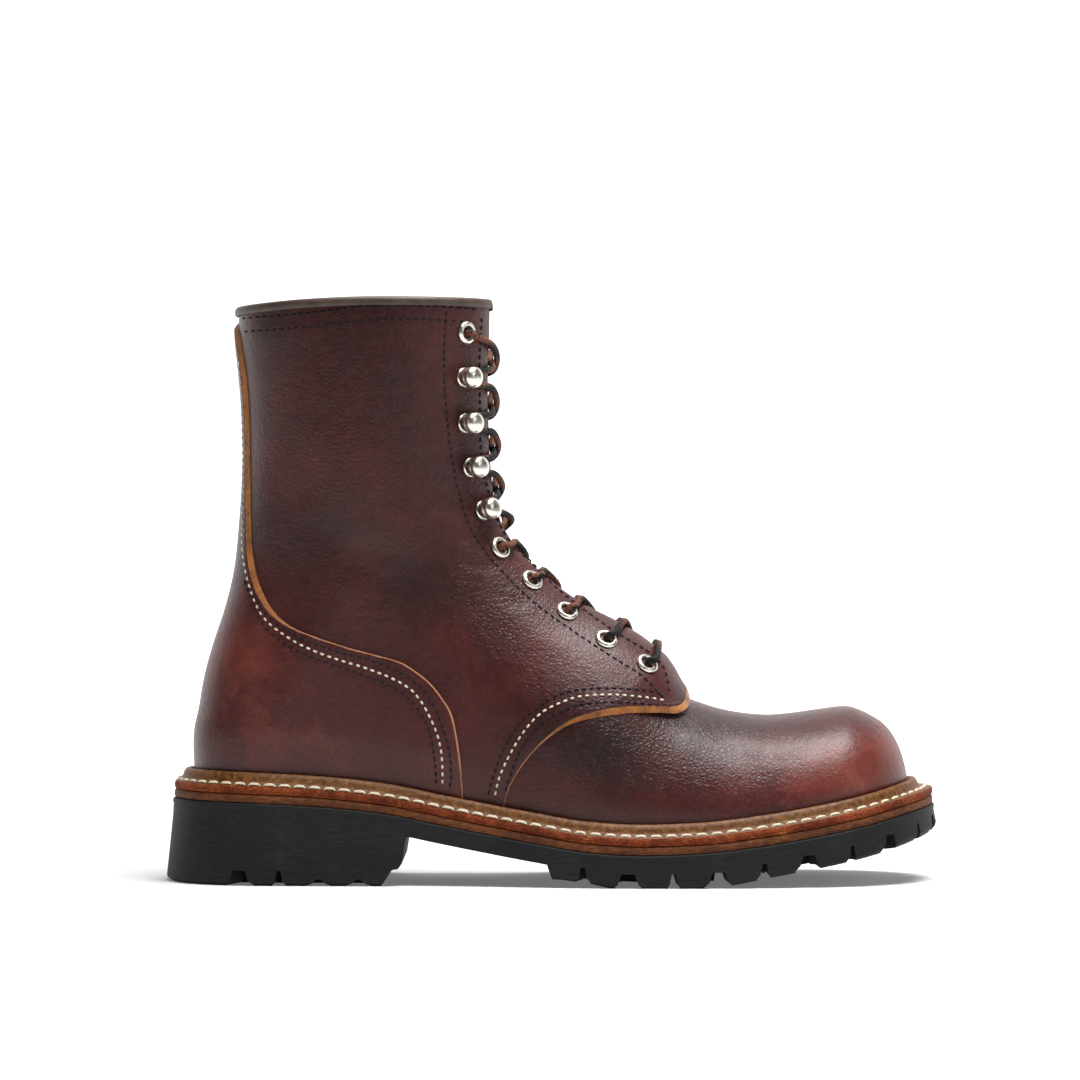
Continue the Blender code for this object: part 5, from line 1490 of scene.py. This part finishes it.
under += [(step + 0.25 * WAIST_RUBBER, 0.25 * float(rubber_top(step))),
          (step + WAIST_RUBBER, -LUG_DEPTH), (place(-0.2), -LUG_DEPTH)]
cut(outsole, side_prism("waist", under))
cut(outsole, groove())
cut(outsole, slots("lug_slots", place(0.541), place(1.2), ("narrow", "wide"), lambda x: float(tread(x)),
                   LUG_REACH, LUG_PITCH))
cut(outsole, centre_bars())
cut(outsole, side_prism("floor_cut", [(place(-0.2), 0.0), (place(1.2), 0.0), (place(1.2), -LUG_DEPTH),
                                      (place(-0.2), -LUG_DEPTH)]))

# %% Heel block
top_x = RING_BASE[:, 0]
side_foot = tread(top_x) + 0.4 * LUG_DEPTH
side_share = (rubber_top(top_x) - WAIST_RUBBER - side_foot) / (rubber_top(top_x) - 0.0022 - side_foot)
joint = EDGE + flare * (1 - 0.65 * np.clip(side_share, 0, 1))
rings = np.vstack([
    plan_ring(EDGE + 2.0 * flare - 0.4 * LUG_DEPTH, lambda x: 0 * x),
    plan_ring(EDGE + 2.0 * flare - 0.06 * LUG_DEPTH, lambda x: 0 * x + 0.22 * LUG_DEPTH),
    plan_ring(EDGE + 2.0 * flare, lambda x: 0 * x + 0.40 * LUG_DEPTH),
    plan_ring(joint, lambda x: rubber_top(x) - WAIST_RUBBER)])
heel = mesh_object("heel_block", rings, strip_faces(4, RING), [lug_rubber], sharp=35)
behind = place(-0.2)
breast = X_BACK - HEEL_SETBACK + HEEL_LENGTH
cut(heel, side_prism("breast", [
    (behind, -LUG_DEPTH), (breast - 1.6 * LUG_DEPTH, -LUG_DEPTH), (breast - 1.6 * LUG_DEPTH, 0.0),
    (breast - 0.88 * LUG_DEPTH, 1.08 * LUG_DEPTH), (breast - 0.48 * LUG_DEPTH, 1.15 * LUG_DEPTH),
    (breast - 0.23 * LUG_DEPTH, 1.5 * LUG_DEPTH), (breast - 0.1 * LUG_DEPTH, 2.3 * LUG_DEPTH),
    (breast, 3.2 * LUG_DEPTH), (breast, 2 * HEEL_LIFT), (behind, 2 * HEEL_LIFT)]), "INTERSECT")
cut(heel, slots("heel_slots", place(0.067), breast - 0.6 * LUG_PITCH,
                ("wide", "narrow", "scallop", "scallop"),
                lambda x: 0.0, 0.8 * LUG_REACH, 0.88 * LUG_PITCH))
for piece in (outsole, heel):
    piece.data.materials.clear()
    piece.data.materials.append(lug_rubber)
    piece.data.polygons.foreach_set("material_index", [0] * len(piece.data.polygons))
    piece.data.shade_smooth()
    piece.data.set_sharp_from_angle(angle=math.radians(30))
print("outsole faces:", len(outsole.data.polygons), "heel faces:", len(heel.data.polygons))

# %% [markdown]
# ## Eyelets and hooks
#
# Both are pressed brass with a bright nickel plate. A turned profile gives the eyelet its rolled rim
# and the hook its foot, its neck and its domed head. Each is set along the leather's normal.

# %% Nickel
nickel, tree, shader = surface("nickel_plate", Metallic=1.0)
# Bright plating: warm white, near a mirror, with faint haze
where = add(tree, "TexCoord").outputs["Object"]
haze = add(tree, "TexNoise", {"Vector": where, "Scale": per_mm(1.5), "Detail": 3.0})
gloss = add(tree, "MapRange", {0: haze.outputs["Fac"], 1: 0.3, 2: 0.7, 3: 0.26, 4: 0.36}).outputs[0]
link(tree, gloss, shader, "Roughness")
shader.inputs["Base Color"].default_value = linear("#e6e2d6")

# %% Where each fitting sits


def fitting_spot(level, depth):
    """Side-view place of a fitting, and the way out over the throat there."""
    v = THROAT_FOOT + (1 - THROAT_FOOT) * level
    along = unit(on_line(FRONT_LINE, v + 0.01) - on_line(FRONT_LINE, v - 0.01))
    out = np.array([along[1], -along[0]])
    x, z = on_line(FRONT_LINE, v) - out * depth * EYELET_ROW_INSET
    return v, x, z, out


def fitting_frames(side):
    """Where the ten fittings of a side sit: a point on the leather, its normal and the way to the throat."""
    reach = 0.0035
    around = np.linspace(0, 2 * math.pi, 12, endpoint=False)
    spots = [fitting_spot(level, depth) for level, depth, _ in LACING]
    near = np.array([(x + dx, z + dz) for _, x, z, _ in spots
                     for dx, dz in ((0, 0), (reach, 0), (-reach, 0), (0, reach), (0, -reach))])
    face = on_leather(near[:, 0], near[:, 1], side)[0].reshape(-1, 5, 3)
    normals = unit(np.cross(face[:, 1] - face[:, 2], face[:, 3] - face[:, 4]))
    normals *= np.sign(normals[:, 1:2]) * side
    across = unit(np.cross(normals, (0.0, 0.0, 1.0)))
    up = np.cross(across, normals)
    rims = np.array([face[i, 0] + 0.5 * EYELET_OUTER * (across[i] * math.cos(t) + up[i] * math.sin(t))
                     for i in range(len(spots)) for t in around])
    under = on_leather(rims[:, 0], rims[:, 2], side)[0]
    held = np.linalg.norm(under - rims, axis=1).reshape(-1, 12) < 0.4 * EYELET_OUTER
    rises = ((under - np.repeat(face[:, 0], 12, axis=0))
             * np.repeat(normals, 12, axis=0)).sum(1).reshape(-1, 12)
    found = []
    for i, (v, _, _, out) in enumerate(spots):
        throat = np.array([out[0], -0.35 * side, out[1]])
        found.append({"spot": face[i, 0] + normals[i] * max(0.0, float((rises[i] * held[i]).max())),
                      "normal": normals[i], "v": v, "side": side, "kind": LACING[i][2],
                      "throat": unit(throat - normals[i] * (throat @ normals[i]))})
    return found


FITTINGS = {(row, side): fitting for side in (-1, 1) for row, fitting in enumerate(fitting_frames(side))}
print("fittings:", len(FITTINGS))

# %% Turned hardware


def turned(name, profile, finish, steps=36):
    """A closed profile of (radius, height) turned about Z."""
    count = len(profile)
    points = []
    for turn in np.linspace(0, 2 * math.pi, steps, endpoint=False):
        points += [(r * math.cos(turn), r * math.sin(turn), h) for r, h in profile]
    made = mesh_object(name, np.array(points), strip_faces(steps, count, closed=True), [finish], sharp=60)
    shaper = bmesh.new()
    shaper.from_mesh(made.data)
    bmesh.ops.remove_doubles(shaper, verts=shaper.verts, dist=1e-6)
    bmesh.ops.recalc_face_normals(shaper, faces=shaper.faces)
    shaper.to_mesh(made.data)
    shaper.free()
    return made


def set_on(piece, fitting):
    """Put a turned piece on the leather: Z along the normal, X towards the throat."""
    z = Vector(fitting["normal"])
    x = Vector(fitting["throat"])
    y = z.cross(x)
    turn = Matrix((x, y, z)).transposed().to_4x4()
    piece.data.transform(Matrix.Translation(Vector(fitting["spot"])) @ turn)


EYELET_PROFILE = [
    (0.5 * EYELET_HOLE, -0.0030), (0.5 * EYELET_HOLE, 0.0006), (0.5 * EYELET_HOLE + 0.0002, 0.0010),
    (0.5 * EYELET_HOLE + 0.0007, 0.00125), (0.5 * EYELET_HOLE + 0.0012, 0.0012),
    (0.5 * EYELET_OUTER - 0.0004, 0.0008), (0.5 * EYELET_OUTER, 0.0003), (0.5 * EYELET_OUTER - 0.0001, 0.0),
    (0.5 * EYELET_HOLE + 0.0006, 0.0), (0.5 * EYELET_HOLE + 0.0006, -0.0030),
]
BALL = 0.55 * HOOK_BALL
FOOT_RADIUS = 0.5 * HOOK_BASE
HEAD = 0.86 * HOOK_STAND
HOOK_PROFILE = [
    (0.0, 0.0), (FOOT_RADIUS - 0.0001, 0.0), (FOOT_RADIUS, 0.0004), (FOOT_RADIUS - 0.0004, 0.0009),
    (FOOT_RADIUS - 0.0010, 0.0009), (FOOT_RADIUS - 0.0013, 0.0005), (0.0019, 0.0006), (0.0016, 0.0012),
    (0.0015, HEAD - 0.0030), (0.0019, HEAD - 0.0024), (0.80 * BALL, HEAD - 0.0021),
    (0.93 * BALL, HEAD - 0.0018), (0.92 * BALL, HEAD - 0.0014), (0.90 * BALL, HEAD - 0.0008),
    (0.96 * BALL, HEAD), (0.98 * BALL, HEAD + 0.0006), (0.94 * BALL, HEAD + 0.0012),
    (0.84 * BALL, HEAD + 0.0018), (0.66 * BALL, HEAD + 0.0023), (0.42 * BALL, HEAD + 0.0026),
    (0.0, HEAD + 0.0028),
]
hardware = []
for (row, side), fitting in FITTINGS.items():
    name = ("outer_" if side < 0 else "inner_") + str(row + 1)
    if fitting["kind"] == "eyelet":
        piece = turned("rolled_eyelet_" + name, EYELET_PROFILE, nickel)
        node = "eyelet_" + name
    else:
        piece = turned("speed_hook_" + name, HOOK_PROFILE, nickel, 32)
        # The head's underside flares towards the throat, where the lace slips in
        for vertex in piece.data.vertices:
            if HEAD - 0.0029 < vertex.co.z < HEAD - 0.0002 and vertex.co.x > 0:
                vertex.co.x *= 1.22
        node = "lace_hook_" + name
    set_on(piece, fitting)
    hardware.append((piece, "nickel", [node]))
print("hardware:", len(hardware))

# %% [markdown]
# ## Lace
#
# One lace runs from a bar across the lowest eyelets. Each half crosses over the throat, goes over the
# edge of the flap and down through the next eyelet, comes out from under the flap, and crosses again.
# At a hook it passes round the neck instead. Its ends stop inside the top eyelets. A tube is swept
# along that route, and the two colours of the braid are worked out along and round it, with painted
# shade in the grooves of the plait.

# %% Lace material
braid, tree, shader = surface("braided_polyester_lace", Roughness=0.7, IOR=1.5, Specular_IOR_Level=0.25)
# Tight round braid of waxed yarn in two colours, with a dull nap. The yarn mark comes with the tube
# and also holds painted shade in the plait's grooves and a painted highlight on its crowns
thread = add(tree, "Attribute", attribute_name="yarn").outputs["Fac"]
colour = add(tree, "ValToRGB", {"Fac": thread}, stops=[(0.0, "#040505"), (0.40, "#0f1614"), (0.56, "#4a2c1e"),
                                                       (1.0, "#8a563c")])
link(tree, colour.outputs["Color"], shader, "Base Color")
where = add(tree, "TexCoord").outputs["Object"]
yarn = add(tree, "TexNoise", {"Vector": where, "Scale": per_mm(0.35), "Detail": 2.0})
bump = add(tree, "Bump", {"Strength": 1.0, "Distance": 0.0001, "Height": yarn.outputs["Fac"]})
link(tree, bump.outputs[0], shader, "Normal")

# %% Route of the lace
LACE_RADIUS = 0.5 * LACE_DIAMETER
LACE_STEP = 0.00055


def over_edge(v, side, rise):
    """Point above the flap's edge on one side of the throat."""
    share = (v - THROAT_FOOT) / (1 - THROAT_FOOT)
    angle = front_angle(v, throat_half(share) + 0.0006, side)
    angle = np.array([angle if side < 0 else 2 * math.pi - angle])
    level = np.array([v])
    base = last_point(angle, level)
    height = rise + layer_height(base, QUARTER_STEP, FLAP_LIFT)
    return (base + last_normal(angle, level) * height[:, None])[0]


def way_up(v):
    """Direction up the throat in the middle plane."""
    along = on_line(FRONT_LINE, v + 0.01) - on_line(FRONT_LINE, v - 0.01)
    return unit(np.array([along[0], 0.0, along[1]]))


def ridge_point(v, rise):
    """Point of the middle plane, above or below the ridge of the throat."""
    along = way_up(v)
    spot = on_line(FRONT_LINE, v)
    out = np.array([along[2], 0.0, -along[0]])
    return np.array([spot[0], 0.0, spot[1]]) + out * rise


def arrive(fitting):
    """Route from the flap's edge to a fitting: into the eyelet, or round the hook's neck."""
    spot, normal, side, v = fitting["spot"], fitting["normal"], fitting["side"], fitting["v"]
    throat = fitting["throat"]
    up = np.cross(normal, throat)
    up *= np.sign(up @ way_up(v))
    if fitting["kind"] == "eyelet":
        edge = over_edge(v - 0.013, side, LACE_RADIUS + 0.0002)
        rim = spot + throat * 0.0034 + normal * (LACE_RADIUS + 0.0012) - up * 0.0015
        mouth = spot + throat * 0.0011 + normal * (LACE_RADIUS + 0.0004)
        return [edge, rim, mouth, spot - normal * 0.0012, spot - normal * 0.0036]
    edge = over_edge(v - 0.012, side, LACE_RADIUS + 0.0004)
    lay = normal * 0.0026
    round_neck = 0.0029
    return [edge, spot + throat * 0.0030 - up * round_neck + lay, spot - up * round_neck * 0.95 + lay,
            spot - throat * round_neck + lay, spot + up * round_neck * 0.95 + lay,
            spot + throat * 0.0030 + up * round_neck + lay, over_edge(v + 0.012, side, LACE_RADIUS + 0.0004)]


def leave(fitting):
    """Route from inside an eyelet, under the flap, to the throat."""
    if fitting["kind"] != "eyelet":
        return []
    v, side = fitting["v"], fitting["side"]
    under = over_edge(v + 0.010, side, -QUARTER_STEP - VAMP_WALL - 1.25 * LACE_RADIUS)
    middle = 0.5 * (under + fitting["spot"] - fitting["normal"] * 0.0052)
    return [middle, under]


def crossing(first, second, above):
    """The lace's middle point between two rows, one strand over the other."""
    v = 0.5 * (first["v"] + second["v"])
    rise = 0.0016 if "hook" in (first["kind"], second["kind"]) else -0.0018
    return ridge_point(v, rise + (LACE_RADIUS * 1.02 if above else -LACE_RADIUS * 1.02))


def strand(side):
    """Control points of one half of the lace, from the lowest eyelet to the top one."""
    start = FITTINGS[(0, side)]
    edge = over_edge(start["v"], side, LACE_RADIUS + GAP)
    points = [edge] + arrive(start)[1:]
    for row in range(1, len(LACING)):
        here = FITTINGS[(row - 1, side)]
        points += leave(here)
        side = -side
        there = FITTINGS[(row, side)]
        points.append(crossing(here, there, side < 0))
        points += arrive(there)
    return points


def tube(line):
    """Braided tube along a dense route, with the yarn pattern and the plait's painted shade as a mark on its
    points.
    """
    sides = 14
    tangent = unit(np.gradient(line, axis=0))
    frame_x = np.zeros_like(line)
    frame_x[0] = unit(np.cross(tangent[0], (0.0, 1.0, 0.3)))
    for i in range(1, len(line)):
        turned_x = frame_x[i - 1] - tangent[i] * (frame_x[i - 1] @ tangent[i])
        frame_x[i] = unit(turned_x)
    frame_y = np.cross(tangent, frame_x)
    run = run_along(line)
    turn = np.linspace(0, 2 * math.pi, sides, endpoint=False)
    along, around = np.meshgrid(run, turn, indexing="ij")
    lay = 2 * math.pi * along / 0.0026
    plait = np.cos(3 * around + lay) * np.cos(3 * around - lay)
    radius = LACE_RADIUS * (0.90 + 0.14 * plait)
    points = (line[:, None, :] + frame_x[:, None, :] * (radius * np.cos(around))[..., None]
              + frame_y[:, None, :] * (radius * np.sin(around))[..., None]).reshape(-1, 3)
    saw = 4 * np.abs((along / 0.0030) % 1 - 0.5) - 1
    half = np.sin(around + 2 * math.pi * along / 0.034) + 0.85 * saw
    # The plait term darkens the grooves and lightens the crowns of the braid: painted shade and highlight
    yarn = 0.20 + 0.50 * np.clip(0.5 + 4.0 * half, 0, 1) + 0.28 * plait
    return points, strip_faces(len(line), sides), yarn.reshape(-1)


bar = ridge_point(FITTINGS[(0, 1)]["v"], FLAP_LIFT)
control = np.array(strand(-1)[::-1] + [bar] + strand(1))
lace_length = np.linalg.norm(np.diff(control, axis=0), axis=1).sum()
line = smooth_line(control, int(lace_length / LACE_STEP))
lace_points, lace_faces, yarn = tube(line)
lace = mesh_object("braided_lace", lace_points, lace_faces, [braid], marks={"yarn": yarn}, sharp=75)
print("lace length:", round(float(lace_length), 3), "m")

# %% [markdown]
# ## Studio
#
# The boot stands on a white sweep in soft light, seen level from its outer side, as a catalogue shows
# it. The camera is 2 m away, so its long lens keeps the far side almost as large as the near one.

# %% Camera
SENSOR_WIDTH = 36.0
CAMERA_DISTANCE = 2.0
PHOTO_PIXELS = 1080
METRES_PER_PIXEL = 0.000405
camera_data = bpy.data.cameras.new("camera")
camera_data.sensor_width = SENSOR_WIDTH
camera_data.lens = SENSOR_WIDTH * CAMERA_DISTANCE / (PHOTO_PIXELS * METRES_PER_PIXEL)
camera_data.clip_end = 30.0
camera = bpy.data.objects.new("camera", camera_data)
camera.location = (-0.0049, -CAMERA_DISTANCE, 0.1373)
camera.rotation_euler = (math.radians(90), 0, 0)
bpy.context.scene.collection.objects.link(camera)
bpy.context.scene.camera = camera
print("lens:", round(camera_data.lens, 1), "mm")

# %% Floor and light
paper, tree, shader = surface("glowing_white_sweep", Roughness=0.9)
# Matt paper that glows by its own emission, faintly near the boot and strongly away from it: a painted glow
# that keeps the paper white, so that only the soft contact shadow shows on it
where = add(tree, "TexCoord").outputs["Object"]
away = add(tree, "VectorMath", {0: where}, operation="LENGTH").outputs["Value"]
glow = add(tree, "MapRange", {0: away, 1: 0.25, 2: 0.85, 3: 0.15, 4: 1.1}).outputs[0]
link(tree, glow, shader, "Emission Strength")
shader.inputs["Base Color"].default_value = linear("#d2d2d2")
shader.inputs["Emission Color"].default_value = linear("#ffffff")
shader.inputs["Specular IOR Level"].default_value = 0.0
turn = np.linspace(0, 0.5 * math.pi, 24)
sweep_line = [(-1.0, 0.0)] + [(2.5 + 1.2 * math.sin(a), 1.2 - 1.2 * math.cos(a)) for a in turn] + [(3.7, 5.0)]
points = [(x, y, z) for y, z in sweep_line for x in (-8.0, 8.0)]
faces = [(2 * i, 2 * i + 1, 2 * i + 3, 2 * i + 2) for i in range(len(sweep_line) - 1)]
floor = mesh_object("paper_sweep", np.array(points), faces, [paper])

world = bpy.data.worlds.new("studio")
bpy.context.scene.world = world
world.use_nodes = True
world.node_tree.nodes["Background"].inputs["Color"].default_value = linear("#ffffff")
world.node_tree.nodes["Background"].inputs["Strength"].default_value = 0.02

# Softboxes: name, place, size in metres, power in watts
SOFTBOXES = [
    ("overhead_softbox", (0.22, -0.16, 1.3), 0.75, 36.0),
    ("front_right_softbox", (1.3, -0.9, 0.8), 0.6, 2.6),
    ("front_left_softbox", (-1.5, -0.9, 0.7), 0.6, 0.8),
]
for name, spot, size, power in SOFTBOXES:
    lamp = bpy.data.lights.new(name, "AREA")
    lamp.size = size
    lamp.energy = power
    softbox = bpy.data.objects.new(name, lamp)
    softbox.location = spot
    softbox.rotation_euler = (Vector((0, 0, 0.08)) - Vector(spot)).to_track_quat("-Z", "Y").to_euler()
    bpy.context.scene.collection.objects.link(softbox)
bpy.context.scene.view_settings.view_transform = "Standard"

# %% [markdown]
# ## Hand the pieces to the frame
#
# Every piece rides on the one body of the boot, and the pieces that stand for CAD solids say which.

# %% Ride and replace
PIECES = [
    (vamp, "oiled_leather", ["upper"]), (quarter_outer, "oiled_leather", []),
    (quarter_inner, "oiled_leather", []),
    (counter, "oiled_leather", ["heel_counter"]), (binding, "binding", ["collar_binding"]),
    (tongue, "tongue_leather", ["tongue"]), (insole, "insole_board", ["insole"]),
    (welt, "welt_leather", ["storm_welt"]), (midsole, "midsole_leather", ["midsole"]),
    (outsole, "lug_rubber", ["outsole"]), (heel, "lug_rubber", ["heel"]),
    (black_seams, "oiled_leather", []), (white_seams, "oiled_leather", []), (welt_seam, "welt_leather", []),
    (lace, "lace", ["lace_bar"] + ["lace_cross_" + str(i) for i in range(1, 10)]),
] + hardware
for piece, finish, nodes in PIECES:
    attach(piece, "root")
    if nodes:
        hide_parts(*nodes)
